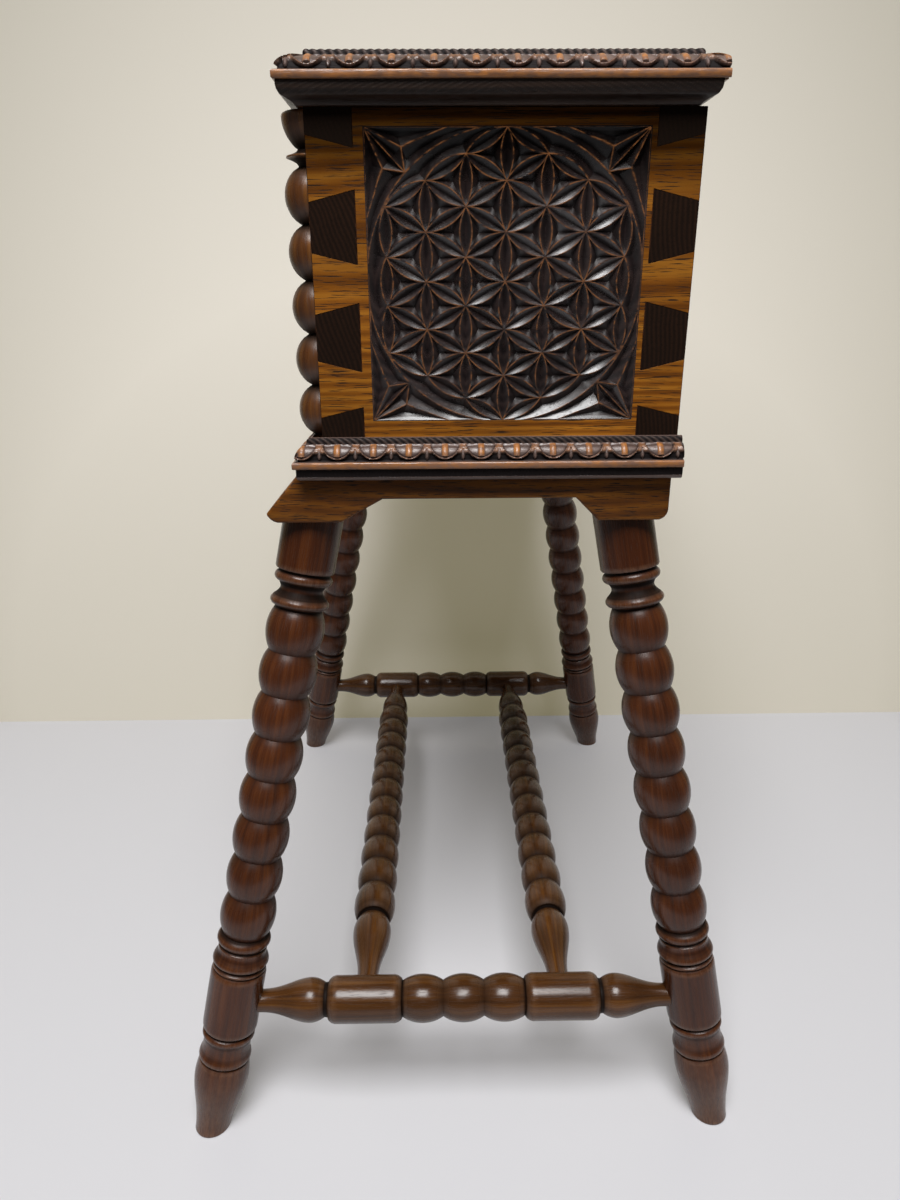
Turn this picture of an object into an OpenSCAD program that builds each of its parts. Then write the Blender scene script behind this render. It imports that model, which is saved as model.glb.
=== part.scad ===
// Sewing cabinet: a dovetailed chest with a hinged lid, on four splayed bobbin-turned legs.
// Millimetres. X runs left to right, Y front to back and Z up. The floor is Z = 0.
// The origin lies on the floor, in the middle of the four feet.

/* [Chest] */
// Length of the dovetailed box, left to right
box_l = 434.7; // [400:1:480]
// Depth of the box, front to back
box_d = 219; // [200:1:240]
// Height of the box boards
box_h = 178; // [150:1:210]
// Thickness of the front, back and end boards
board_t = 26; // [20:0.5:28]
// Number of dovetails along each corner
tail_count = 3; // [2:1:4]
// Width of a dovetail pin at its wide side
pin_w = 38.5; // [26:0.5:42]
// How much a pin narrows on each side towards the outer edge
pin_slope = 6.3; // [3:0.1:8]
// How far the middle of the box lies behind the middle of the feet
box_y = 24.75; // [15:0.05:35]

/* [Half columns] */
// Radius of a half column's beads
column_r = 15.3; // [11:0.1:16]
// Number of beads on a half column
column_beads = 5; // [4:1:7]
// Height of the bell at the top of a half column
bell_h = 18; // [14:1:28]
// Height of the ring under the bell, with its two necks
column_ring_h = 9; // [7:0.5:16]
// Distance of an outer half column's middle from the end of the box
column_inset = 16; // [16:0.5:24]

/* [Carving] */
// Distance of the carved squares from the top and bottom of the box
carving_margin = 10; // [8:0.5:14]
// How far the end boards' carved squares lie behind the middle of the box
carving_y = 1.2; // [0:0.1:3]
// How far the carved squares lie above the middle of the box
carving_z = 1; // [0:0.1:3]
// Depth of the petals
petal_depth = 2.7; // [1.5:0.1:3.5]
// Depth of the pits, the crescents and the corner chips
pit_depth = 3.6; // [2:0.1:4.5]
// Least width of the ridges between the cuts
ridge_w = 0.5; // [0.3:0.1:0.8]

/* [Base] */
// Thickness of the moulded base board
base_t = 24; // [20:0.5:30]
// How far the base board runs past the box in front
base_front_ledge = 6.5; // [4:0.5:10]
// How far the base board runs past the box at the back
base_back_ledge = 2.5; // [0.5:0.5:6]

/* [Lid] */
// Thickness of the lid board
lid_t = 24.7; // [23:0.1:30]
// How far the lid board runs past the box in front
lid_front_ledge = 2.5; // [0.5:0.5:6]
// How far the lid runs past the box at the back
lid_back_ledge = 7.5; // [6.5:0.1:9]
// How much of its width the lid's back moulding has lost to the plane
lid_planed = 4.8; // [3:0.1:7]
// How far the cove under it stands in from the lid's back face
lid_cove_step = 3; // [2.5:0.1:5]
// Angle at which the lid's stop lugs come to rest on the back board
lid_open = 100; // [94:1:110]
// Height of the plain lower part of the lid's edge, under the upper moulding
lid_low_h = 10.7; // [9:0.1:12]
// How far the upper mouldings are let in over the lid board
lid_rabbet = 9; // [7:0.5:12]

/* [Mouldings] */
// How far the mouldings stand out from the boards
moulding_w = 11.65; // [9:0.05:14]
// Height of the square edge of a moulding
fillet_h = 4.3; // [3:0.1:6]
// Height of the raised rope bead above the board
lid_rope_h = 3; // [2:0.1:5]
// Width of the rope bead
rope_w = 4.6; // [3:0.1:5]
// How far the rope bead of the base stands above the base board
base_rope_h = 1.4; // [1:0.1:3]
// Height of the plain strip under the base's square edge
under_strip_h = 7.5; // [5:0.1:10]

/* [Stand] */
// Height of the leg tops, where the end rails begin
stand_h = 455; // [400:1:520]
// Distance between the left and right feet in front
foot_spread_x = 559; // [480:1:600]
// Distance between the left and right feet at the back
back_spread_x = 552; // [480:1:600]
// Distance between the front and back feet
foot_spread_y = 380.5; // [330:0.1:420]
// Distance between the left and right leg tops
top_spread_x = 381.4; // [370:0.1:384]
// Distance of the front leg tops in front of the middle of the box
top_front = 121.5; // [110:0.5:124]
// Distance of the back leg tops behind the middle of the box
top_back = 84.5; // [78:0.5:88]
// Thickness of the end rails, left to right
rail_w = 48; // [46:1:56]
// Height of the end rails at the legs
rail_h = 29; // [26:1:40]
// How far the tip of an end rail lies in front of the middle of the box
rail_front = 148.2; // [146:0.1:156]
// How far an end rail reaches behind the middle of the box
rail_back = 108.5; // [108:0.5:114]
// Height of the arch cut under an end rail
arch_h = 15; // [8:0.5:16]

/* [Legs] */
// Diameter of the leg beads
bead_d = 40; // [34:0.5:42]
// Number of beads on a leg
leg_beads = 8; // [6:1:10]
// Diameter of the plain collar at a leg top
collar_d = 40; // [34:0.5:42]
// Length of that collar along the leg
collar_h = 39.5; // [30:0.5:46]
// Diameter of the plain drum that holds the stretcher
drum_d = 40; // [36:0.5:42]
// Length of that drum along the leg
drum_h = 47.5; // [40:0.5:54]
// How far the middle of that drum lies above the stretcher
drum_lift = 6; // [4:0.5:12]
// Height of the stretchers above the floor
stretcher_z = 99.6; // [94:0.1:110]
// Largest diameter of a foot
foot_d = 40; // [36:0.5:44]
// Diameter of a foot at the floor
foot_tip_d = 26; // [20:0.5:32]

/* [Stretchers] */
// Distance between the two long stretchers
long_gap = 146.4; // [130:0.1:160]
// Diameter of the end stretchers' drums
end_drum_d = 33.2; // [30:0.1:38]
// Length of the end stretchers' drums
end_drum_h = 55.5; // [48:0.5:60]
// Diameter of the end stretchers' beads
end_bead_d = 33.4; // [30:0.1:38]
// Number of beads in the middle of an end stretcher
end_beads = 3; // [2:1:5]
// Diameter of the long stretchers' beads
long_bead_d = 35; // [28:0.5:38]
// Number of beads on a long stretcher
long_beads = 11; // [9:1:13]
// Length of the plain vase at each end of a long stretcher
long_vase_h = 66; // [50:1:80]
// Largest diameter of the vases
vase_d = 31; // [26:0.5:36]
// Diameter of the vases' necks
neck_d = 16; // [14:0.5:20]

/* [Tenons] */
// Diameter of the round tenons on the leg tops
leg_tenon_d = 24; // [18:0.5:28]
// Length of the leg tenons along the leg
leg_tenon_l = 20; // [14:0.5:22]
// Diameter of the round tenons on the stretchers
tenon_d = 12; // [9:0.5:13]
// How far a stretcher tenon reaches past the middle of what holds it
tenon_past = 4; // [1:0.5:8]

/* [Tray] */
// Length of the sliding tray
tray_l = 190; // [150:1:230]
// Height of the tray
tray_h = 46; // [30:1:52]
// Thickness of the tray's walls
tray_wall = 7; // [5:0.5:10]
// Thickness of the tray's bottom
tray_floor_t = 5; // [3:0.5:7]
// Thickness of the tray's dividers
divider_t = 4; // [3:0.5:6]
// Width of the runners under the tray
runner_w = 9; // [6:0.5:12]
// Height of the runners under the tray
runner_h = 9; // [6:0.5:12]
// Distance of the tray's rim below the lid
tray_drop = 8; // [4:0.5:14]

/* [Hinges] */
// Distance between the two hinges
hinge_gap = 240; // [160:1:300]
// Length of a hinge
hinge_l = 48; // [40:1:60]
// Radius of a hinge knuckle
knuckle_r = 3; // [2.8:0.1:3.2]
// Radius of a hinge pin
hinge_pin_r = 1.5; // [1.2:0.1:1.8]
// Distance of the hinge pin behind the back board
hinge_out = 3.5; // [3.4:0.05:4]
// Height of the hinge pin above the lid's underside
hinge_up = 2.5; // [2.2:0.1:3.2]
// Width of a hinge leaf on the wood
leaf_w = 18; // [14:0.5:19]
// Thickness of a hinge leaf
leaf_t = 1.4; // [1.2:0.1:2]

/* [Screws] */
// Radius of a hinge screw's shank
small_shank_r = 1.4; // [1.2:0.1:1.8]
// Length of a hinge screw
small_screw_l = 14; // [10:0.5:18]
// Radius of a wood screw's shank in the base
big_shank_r = 2.2; // [1.8:0.1:2.8]
// Length of the screws that hold the rails
rail_screw_l = 30; // [26:0.5:34]
// Length of the screws that hold the box
box_screw_l = 42; // [34:0.5:50]

/* [Fits] */
// Clearance of a glued or fixed joint
fit = 0.05; // [0.02:0.01:0.1]
// Clearance between pieces that move past each other
gap = 0.3; // [0.2:0.05:0.5]

/* [Hidden] */
$fn = 64;
over = 1;

oak = [0.45, 0.25, 0.10];
dark_oak = [0.20, 0.11, 0.06];
turned = [0.30, 0.13, 0.07];
turned_light = [0.36, 0.18, 0.09];
rail_oak = [0.48, 0.26, 0.09];
pale_wood = [0.62, 0.44, 0.26];
brass = [0.62, 0.48, 0.24];
steel = [0.45, 0.44, 0.42];

half_l = box_l / 2;
half_d = box_d / 2;
base_z = stand_h + rail_h;
box_z = base_z + base_t;
box_top = box_z + box_h;
lid_z = box_top + gap;
lid_mid = lid_z + lid_low_h;

tail_pitch = box_h / tail_count;
inner_l = half_l - board_t;
inner_d = half_d - board_t;

base_front = half_d + base_front_ledge;
base_back = half_d + base_back_ledge;
lid_front = half_d + lid_front_ledge;
lid_back = half_d + lid_back_ledge;
lid_flat = moulding_w - lid_planed;
lid_back_edge = lid_back - lid_flat;
cove_w = moulding_w - 1.6;
cove_back_edge = lid_back - lid_cove_step - cove_w;

// Half a carved square, kept inside the boards and between the half columns
carving_half = min(
    box_h / 2 - carving_margin,
    inner_d - 4.5,
    (half_l - column_inset) / 2 - column_r - 5
);
carving_mid = box_z + box_h / 2 + carving_z;
// Its rosette: seven columns of overlapping circles inside a ring
petal_pitch = carving_half * 0.3316;
petal_rise = petal_pitch * sqrt(3) / 2;
ring_r = carving_half * 1.0076;
lattice = [
    for (c = [-3 : 3])
        for (k = [0 : 6 - abs(c)])
            [c * petal_rise, (k - (6 - abs(c)) / 2) * petal_pitch]
];
// How far the cutting shapes stand out of the wood
cut_top = 0.3;

foot_y = foot_spread_y / 2;
top_x = top_spread_x / 2;
front_top = [top_x, box_y - top_front, stand_h];
back_top = [top_x, box_y + top_back, stand_h];
front_foot = [foot_spread_x / 2, -foot_y, 0];
back_foot = [back_spread_x / 2, foot_y, 0];

// Places on the leg axes at the height of the stretchers
front_knot = front_foot + (front_top - front_foot) * stretcher_z / stand_h;
back_knot = back_foot + (back_top - back_foot) * stretcher_z / stand_h;
stretcher_x = (front_knot[0] + back_knot[0]) / 2;
stretcher_mid = (front_knot[1] + back_knot[1]) / 2;
knot_half = (back_knot[1] - front_knot[1]) / 2;

// Length of a leg tenon inside the leg, and the play at the bottom of the bores
tenon_root = 12;
bore_play = 0.5;
// Turns the leaning rounds about their own axes, which keeps their seams clear of flat cuts
seam_turn = 50;

rail_in = half_l - rail_w;
rail_mid = half_l - rail_w / 2;
collar_reach = collar_d / 2 * 1.03;
rail_nose_h = 6;
rail_nose_run = 6;
rail_slope_run = 20;
rail_corner_r = 7;

pivot_y = half_d + hinge_out;
pivot_z = lid_z + hinge_up;
knuckle_gap = 0.3;
knuckle_l = hinge_l / 3;
notch_gap = 0.5;
lug_from = 1.8;
lug_to = 4;
leaf_screw_y = half_d - leaf_w * 0.62;

small_head_r = 2 * small_shank_r;
big_head_r = 2 * big_shank_r;
rail_screw_y = [-50, 10];
box_screw_x = [-150, 0, 150];
small_screw_x = [-0.36, 0, 0.36];

tray_side = inner_d - notch_gap;
tray_x = -inner_l + notch_gap;
tray_end = tray_x + tray_l;
tray_z = lid_z - tray_drop - tray_h;
tray_wall_z = tray_z + tray_floor_t;
tray_wall_h = tray_h - tray_floor_t;
divider_h = tray_wall_h - 6;
divider_x = tray_x + tray_l * 0.42;

// Convex bead of a turning, from height a to height b, as [radius, height] points
function bead(a, b, r, end_r, n = 10) = [
    for (i = [0 : n])
        let (t = 2 * i / n - 1)
        [r * sqrt(1 - t * t * (1 - end_r * end_r / (r * r))), a + (b - a) * i / n]
];
// Hollow of a turning, from height a to height b
function hollow(a, b, r1, r2, dip, n = 8) = [
    for (i = [0 : n])
        let (t = i / n)
        [r1 + (r2 - r1) * t - dip * sin(180 * t), a + (b - a) * t]
];
// Row of equal beads
function bead_row(a, b, count, r, end_r) = [
    for (k = [0 : count - 1])
        each bead(a + (b - a) * k / count, a + (b - a) * (k + 1) / count, r, end_r)
];
// Vase from its neck at height a to the collar behind its belly at height b
function vase(a, b, neck, belly) = let (h = b - a) [
    for (i = [0 : 12])
        let (t = i / 12)
        [neck + (belly - neck) * (0.5 - 0.5 * cos(180 * pow(t, 1.2))), a + h * 0.76 * t],
    for (i = [1 : 5])
        let (t = i / 5)
        [belly * (1 - 0.2 * t * t), a + h * (0.76 + 0.19 * t)],
    [belly * 0.76, a + h * 0.97],
    [belly * 0.78, b]
];
// Points turned end for end, for the other half of a symmetrical turning
function flipped(pts) = [for (i = [len(pts) - 1 : -1 : 0]) [pts[i][0], -pts[i][1]]];

// Carries children from the Z axis to the line between two points
module aim(from, to) {
    d = to - from;
    translate(from)
        rotate([0, acos(d[2] / norm(d)), atan2(d[1], d[0])])
            rotate([0, 0, seam_turn]) children();
}
module at_box() {
    translate([0, box_y, 0]) children();
}
// Mirrors children to the left half when side is -1
module sided(side) {
    if (side < 0) mirror([1, 0, 0]) children();
    else children();
}
// Turning about the Z axis from an outline that runs upwards
module turned_from(pts) {
    rotate_extrude()
        polygon(concat([[0, pts[0][1]]], pts, [[0, pts[len(pts) - 1][1]]]));
}

// Outline of a leg from the floor up, drum_mid being the middle of the drum along the leg
function leg_outline(length, drum_mid) =
    let (
        r = bead_d / 2,
        d0 = drum_mid - drum_h / 2,
        d1 = drum_mid + drum_h / 2,
        belly = d0 - 42,
        bead_a = d1 + 29.4,
        collar_a = length - collar_h,
        bead_b = collar_a - 26.3
    )
    concat(
        [[foot_tip_d / 2, -20], [foot_tip_d / 2, 2]],
        [
            for (i = [1 : 8])
                let (t = i / 8)
                [
                    foot_tip_d / 2 + (foot_d - foot_tip_d) / 2 * (0.35 * t + 0.325 - 0.325 * cos(180 * t)),
                    2 + (belly - 2) * t
                ]
        ],
        [
            for (i = [1 : 4])
                let (t = i / 4)
                [foot_d / 2 * (1 - 0.085 * t * t), belly + 14.5 * t]
        ],
        [[foot_d * 0.43, d0 - 27], [foot_d * 0.43, d0 - 26.2]],
        [[drum_d * 0.465, d0 - 25.4], [drum_d * 0.48, d0 - 23.5], [drum_d * 0.473, d0 - 21.5]],
        hollow(d0 - 20, d0 - 8, drum_d * 0.455, drum_d * 0.447, 0.7, 6),
        [[drum_d * 0.475, d0 - 6.2], [drum_d * 0.48, d0 - 4.6], [drum_d * 0.465, d0 - 3.2]],
        [[drum_d * 0.43, d0 - 2.4], [drum_d * 0.43, d0 - 1.2]],
        [[drum_d * 0.475, d0 - 0.3], [drum_d * 0.495, d0 + 1.4], [drum_d / 2, d0 + 3.6]],
        [[drum_d / 2, d1 - 1.5], [drum_d * 0.485, d1], [drum_d * 0.44, d1 + 0.9]],
        [[drum_d * 0.475, d1 + 1.6], [drum_d * 0.485, d1 + 2.8], [drum_d * 0.475, d1 + 4]],
        [[drum_d * 0.425, d1 + 4.8], [drum_d * 0.425, d1 + 5.6]],
        [[drum_d * 0.49, d1 + 6.6], [drum_d * 0.508, d1 + 8.4], [drum_d * 0.495, d1 + 10.4]],
        hollow(d1 + 11.8, d1 + 18.5, drum_d * 0.483, drum_d * 0.44, 0.8, 6),
        [[drum_d * 0.41, d1 + 19.5], [drum_d * 0.41, d1 + 20.3]],
        bead(d1 + 21, bead_a - 0.8, drum_d * 0.483, drum_d * 0.43, 6),
        bead_row(bead_a, bead_b, leg_beads, r, r * 0.79),
        [[r * 0.84, bead_b + 0.8], [r * 0.97, bead_b + 3]],
        [[r, bead_b + 4.5], [r * 0.96, bead_b + 6.3]],
        hollow(bead_b + 7.5, collar_a - 8.8, r * 0.92, r * 0.82, 2.8, 8),
        [[r * 0.91, collar_a - 8], [r * 0.96, collar_a - 6.6], [r * 0.98, collar_a - 4.8]],
        [[r * 0.95, collar_a - 3], [r * 0.88, collar_a - 1.8], [r * 0.87, collar_a - 0.5]],
        [[collar_d * 0.485, collar_a + 0.3], [collar_d / 2, collar_a + 1.5]],
        [[collar_d / 2, length + 25]]
    );

module leg(side, foot, top) {
    length = norm(top - foot);
    drum_mid = (stretcher_z + drum_lift) * length / stand_h;
    color(turned)
        sided(side)
            difference() {
                union() {
                    intersection() {
                        aim(foot, top) turned_from(leg_outline(length, drum_mid));
                        translate([0, -foot_spread_y, 0])
                            cube([foot_spread_x, 2 * foot_spread_y, stand_h]);
                    }
                    aim(foot, top)
                        translate([0, 0, length - tenon_root])
                            cylinder(r = leg_tenon_d / 2, h = leg_tenon_l + tenon_root);
                }
                end_tenon_bore();
            }
}
module end_tenon_bore() {
    reach = knot_half + tenon_past + bore_play;
    translate([stretcher_x, stretcher_mid - reach, stretcher_z])
        rotate([-90, 0, 0])
            cylinder(r = tenon_d / 2 + fit, h = 2 * reach);
}

module rail_outline() {
    pad_front = -rail_front + rail_nose_run;
    arch_a = -top_front + collar_reach;
    arch_b = top_back - collar_reach;
    polygon(concat(
        [
            [-rail_front + rail_slope_run, rail_h],
            [-rail_front, rail_nose_h],
            [pad_front, 0],
            [arch_a, 0],
            [arch_a + 1.8 * arch_h, arch_h],
            [arch_b - arch_h, arch_h],
            [arch_b, 0]
        ],
        [
            for (a = [-90 : 15 : 0])
                [
                    rail_back - rail_corner_r + rail_corner_r * cos(a),
                    rail_corner_r + rail_corner_r * sin(a)
                ]
        ],
        [[rail_back, rail_h]]
    ));
}
module end_rail(side) {
    color(rail_oak)
        sided(side)
            difference() {
                at_box()
                    translate([rail_in, 0, stand_h])
                        rotate([90, 0, 90])
                            linear_extrude(rail_w) rail_outline();
                leg_tenon_bore(front_foot, front_top);
                leg_tenon_bore(back_foot, back_top);
                at_box() rail_screw_places() screw_hole(rail_screw_l, big_shank_r, big_head_r);
            }
}
module leg_tenon_bore(foot, top) {
    aim(foot, top)
        translate([0, 0, norm(top - foot) - tenon_root])
            cylinder(r = leg_tenon_d / 2 + fit, h = leg_tenon_l + tenon_root + bore_play);
}

// Outline of the outer part of an end stretcher, from its beads to the middle of the leg
function end_half() =
    let (
        r = end_drum_d / 2,
        d0 = (long_gap - end_drum_h) / 2,
        d1 = d0 + end_drum_h
    )
    concat(
        [[r - 4, d0], [r - 2.2, d0 + 1], [r - 0.8, d0 + 3], [r, d0 + 5.5]],
        [[r, d1 - 5.5], [r - 0.8, d1 - 3], [r - 2.4, d1 - 1], [r - 4.6, d1]],
        flipped(concat(
            [[neck_d / 2, -knot_half]],
            vase(-knot_half + drum_d / 2, -d1 - 0.5, neck_d / 2, vase_d / 2)
        ))
    );
module end_stretcher(side) {
    d0 = (long_gap - end_drum_h) / 2;
    half = end_half();
    color(turned_light)
        sided(side)
            difference() {
                union() {
                    difference() {
                        translate([stretcher_x, stretcher_mid, stretcher_z])
                            rotate([-90, 0, 0])
                                turned_from(concat(
                                    flipped(half),
                                    bead_row(-d0, d0, end_beads, end_bead_d / 2, end_bead_d * 0.37),
                                    half
                                ));
                        drum_space(front_foot, front_top);
                        drum_space(back_foot, back_top);
                    }
                    translate([stretcher_x, stretcher_mid - knot_half - tenon_past, stretcher_z])
                        rotate([-90, 0, 0])
                            cylinder(r = tenon_d / 2, h = 2 * (knot_half + tenon_past));
                }
                for (s = [-1, 1]) long_tenon_bore(s);
            }
}
// The round of a leg's drum, which shapes the shoulder that meets it
module drum_space(foot, top) {
    aim(foot, top)
        translate([0, 0, stretcher_z - drum_h])
            cylinder(r = drum_d / 2 + fit, h = 2 * drum_h);
}
module long_tenon_bore(s) {
    reach = stretcher_x + tenon_past + bore_play;
    translate([-reach, stretcher_mid + s * long_gap / 2, stretcher_z])
        rotate([0, 90, 0])
            cylinder(r = tenon_d / 2 + fit, h = 2 * reach);
}
module long_stretcher(s) {
    shoulder = stretcher_x - end_drum_d / 2;
    bead_end = shoulder - long_vase_h;
    ends = concat(
        [[neck_d / 2, -stretcher_x]],
        vase(-shoulder, -bead_end, neck_d / 2, vase_d / 2)
    );
    color(turned_light)
        translate([0, stretcher_mid + s * long_gap / 2, stretcher_z]) {
            difference() {
                rotate([0, 90, 0])
                    turned_from(concat(
                        ends,
                        bead_row(-bead_end, bead_end, long_beads, long_bead_d / 2, long_bead_d * 0.40),
                        flipped(ends)
                    ));
                for (x = [-stretcher_x, stretcher_x])
                    translate([x, -end_drum_h, 0])
                        rotate([-90, 0, 0])
                            cylinder(r = end_drum_d / 2 + fit, h = 2 * end_drum_h);
            }
            translate([-stretcher_x - tenon_past, 0, 0])
                rotate([0, 90, 0])
                    cylinder(r = tenon_d / 2, h = 2 * (stretcher_x + tenon_past));
        }
}

// Wood screw with its head at Z = 0 and its shank upwards
function screw_outline(length, shank_r, head_r) = [
    [head_r, 0],
    [head_r, 0.4],
    [shank_r, 0.4 + head_r - shank_r],
    [shank_r, length - 2 * shank_r],
    [0.3, length]
];
module screw(length, shank_r, head_r) {
    difference() {
        turned_from(screw_outline(length, shank_r, head_r));
        translate([-head_r - over, -head_r * 0.12, -over])
            cube([2 * (head_r + over), head_r * 0.24, over + head_r * 0.25]);
    }
}
module screw_hole(length, shank_r, head_r) {
    translate([0, 0, -over]) cylinder(r = head_r + fit, h = over + 0.4 + fit);
    translate([0, 0, 0.4])
        cylinder(r1 = head_r + fit, r2 = shank_r + fit, h = head_r - shank_r + fit);
    cylinder(r = shank_r + fit, h = length + fit);
}
module rail_screw_places() {
    for (y = rail_screw_y)
        translate([rail_mid, y, stand_h + arch_h]) children();
}
module box_screw_places() {
    for (x = box_screw_x)
        for (y = [-half_d + board_t / 2, half_d - board_t / 2])
            translate([x, y, base_z]) children();
}
module rail_screws() {
    color(steel)
        at_box()
            for (side = [-1, 1])
                sided(side) rail_screw_places() screw(rail_screw_l, big_shank_r, big_head_r);
}
module base_screws() {
    color(steel)
        at_box() box_screw_places() screw(box_screw_l, big_shank_r, big_head_r);
}

module base_board() {
    color(dark_oak)
        at_box()
            difference() {
                translate([-half_l, -base_front, base_z])
                    cube([box_l, base_front + base_back, base_t]);
                box_screw_places() screw_hole(box_screw_l, big_shank_r, big_head_r);
                for (side = [-1, 1])
                    sided(side) rail_screw_places() screw_hole(rail_screw_l, big_shank_r, big_head_r);
            }
}

// Quarter of a swelling curve from one point of a moulding's outline to another
function swell(p, q, n = 8) = [
    for (i = [0 : n])
        [p[0] + (q[0] - p[0]) * (1 - cos(90 * i / n)), p[1] + (q[1] - p[1]) * sin(90 * i / n)]
];
// Outlines of the mouldings: distance outwards from the board's edge, then height
function base_outline() =
    let (w = moulding_w - 2, z1 = under_strip_h, z2 = z1 + fillet_h, top = base_t + base_rope_h)
    concat(
        [[0, 0], [w - 2.5, 0], [w - 0.6, 0.9], [w, 2.4], [w, z1]],
        [[moulding_w - 0.6, z1], [moulding_w, z1 + 0.8], [moulding_w, z2 - 0.8], [moulding_w - 0.8, z2]],
        swell([moulding_w - 1, z2], [rope_w * 0.7, base_t - 2.4]),
        [[rope_w * 0.7, top - 1], [rope_w * 0.7 - 1, top], [0, top]]
    );
function lid_outline() =
    let (z2 = fillet_h, h = lid_t - lid_low_h, rope_a = -lid_rabbet + 0.8)
    concat(
        [[-lid_rabbet, 0], [moulding_w - 0.6, 0], [moulding_w, 0.8]],
        [[moulding_w, z2 - 0.8], [moulding_w - 0.8, z2]],
        swell([moulding_w - 1, z2], [rope_a + rope_w, h]),
        [
            [rope_a + rope_w, h + lid_rope_h - 1],
            [rope_a + rope_w - 1, h + lid_rope_h],
            [rope_a + 1, h + lid_rope_h],
            [rope_a, h + lid_rope_h - 1],
            [rope_a, h],
            [-lid_rabbet, h]
        ]
    );
function cove_outline() =
    let (w = cove_w, h = lid_low_h)
    concat(
        [[0, 0]],
        hollow(0, h * 0.38, 1, w - 2, 1),
        [[w - 1.5, h * 0.42], [w - 0.4, h * 0.60], [w, h * 0.80], [w, h], [0, h]]
    );

// Front moulding whose board ends at y = -front, let in by inner, mitred and cut off at flat
module front_moulding(outline, front, inner, flat, z) {
    at_box()
        intersection() {
            translate([box_l, -front, z])
                rotate([90, 0, -90])
                    linear_extrude(2 * box_l) polygon(outline);
            translate([0, 0, z - over])
                linear_extrude(2 * base_t)
                    polygon([
                        [-half_l + inner, -front + inner],
                        [half_l - inner, -front + inner],
                        [half_l + flat, -front - flat],
                        [-half_l - flat, -front - flat]
                    ]);
        }
}
// End moulding of a board from y = -front to y = back, mitred in front and up to flat at the back
module end_moulding(side, outline, front, inner, back, flat, z) {
    w = moulding_w + over;
    sided(side)
        at_box()
            intersection() {
                translate([half_l, box_l, z])
                    rotate([90, 0, 0])
                        linear_extrude(2 * box_l) polygon(outline);
                translate([0, 0, z - over])
                    linear_extrude(2 * base_t)
                        polygon(concat(
                            [[half_l - inner, -front + inner], [half_l - inner, back - inner]],
                            flat > 0 ? [[half_l + flat, back + flat]] : [],
                            flat < w ? [[half_l + w, back + flat]] : [],
                            [[half_l + w, -front - w]]
                        ));
            }
}
// The same as a front moulding, at the back of the box
module back_moulding(outline, back, inner, flat, z) {
    at_box()
        mirror([0, 1, 0])
            translate([0, -box_y, 0])
                front_moulding(outline, back, inner, flat, z);
}
module base_moulding_front() {
    color(dark_oak) front_moulding(base_outline(), base_front, 0, moulding_w + over, base_z);
}
module base_moulding_end(side) {
    color(dark_oak) end_moulding(side, base_outline(), base_front, 0, base_back, 0, base_z);
}
module lid_moulding_front() {
    color(dark_oak) front_moulding(lid_outline(), lid_front, lid_rabbet, moulding_w + over, lid_mid);
}
module lid_moulding_end(side) {
    color(dark_oak)
        end_moulding(side, lid_outline(), lid_front, lid_rabbet, lid_back_edge, lid_flat, lid_mid);
}
module lid_moulding_back() {
    color(dark_oak) back_moulding(lid_outline(), lid_back_edge, lid_rabbet, lid_flat, lid_mid);
}
module lid_cove_front() {
    color(dark_oak) front_moulding(cove_outline(), lid_front, 0, moulding_w + over, lid_z);
}
module lid_cove_end(side) {
    color(dark_oak)
        end_moulding(side, cove_outline(), lid_front, 0, cove_back_edge, moulding_w + over, lid_z);
}
module lid_cove_back() {
    color(dark_oak)
        difference() {
            back_moulding(cove_outline(), cove_back_edge, 0, moulding_w + over, lid_z);
            at_box() lid_hinge_space();
        }
}

// Cuts of the carving, drawn with the wood's face at z = 0. A long cut is a list of points: a tip,
// then the left edge, the right edge and the valley at each of its stations, and the other tip
function cut_faces(stations, o) = [
    [o, o + 1, o + 2],
    [o + 1, o, o + 3],
    [o, o + 2, o + 3],
    for (i = [0 : stations - 2])
        let (a = o + 3 * i, b = a + 3)
        each [
            [a + 1, b + 1, b + 2, a + 2],
            [b + 1, a + 1, a + 3],
            [b + 1, a + 3, b + 3],
            [a + 2, b + 2, b + 3],
            [a + 2, b + 3, a + 3]
        ],
    let (a = o + 3 * (stations - 1))
        each [[a + 1, a + 4, a + 2], [a + 4, a + 1, a + 3], [a + 2, a + 4, a + 3]]
];
module long_cuts(cuts) {
    count = len(cuts[0]);
    polyhedron(
        points = [for (cut = cuts) each cut],
        faces = [for (k = [0 : len(cuts) - 1]) each cut_faces((count - 2) / 3, k * count)]
    );
}
// Pits, each a list of points anticlockwise around its edge with its deepest point last
module pits(cuts) {
    n = len(cuts[0]) - 1;
    polyhedron(
        points = [for (cut = cuts) each cut],
        faces = [
            for (k = [0 : len(cuts) - 1])
                let (o = k * (n + 1))
                each concat(
                    [[for (i = [n : -1 : 1]) o + i % n]],
                    [for (i = [0 : n - 1]) [o + i, o + (i + 1) % n, o + n]]
                )
        ]
    );
}
function turned_to(pts, angle, at) = [
    for (p = pts)
        [
            at[0] + p[0] * cos(angle) - p[1] * sin(angle),
            at[1] + p[0] * sin(angle) + p[1] * cos(angle),
            p[2]
        ]
];
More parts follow.
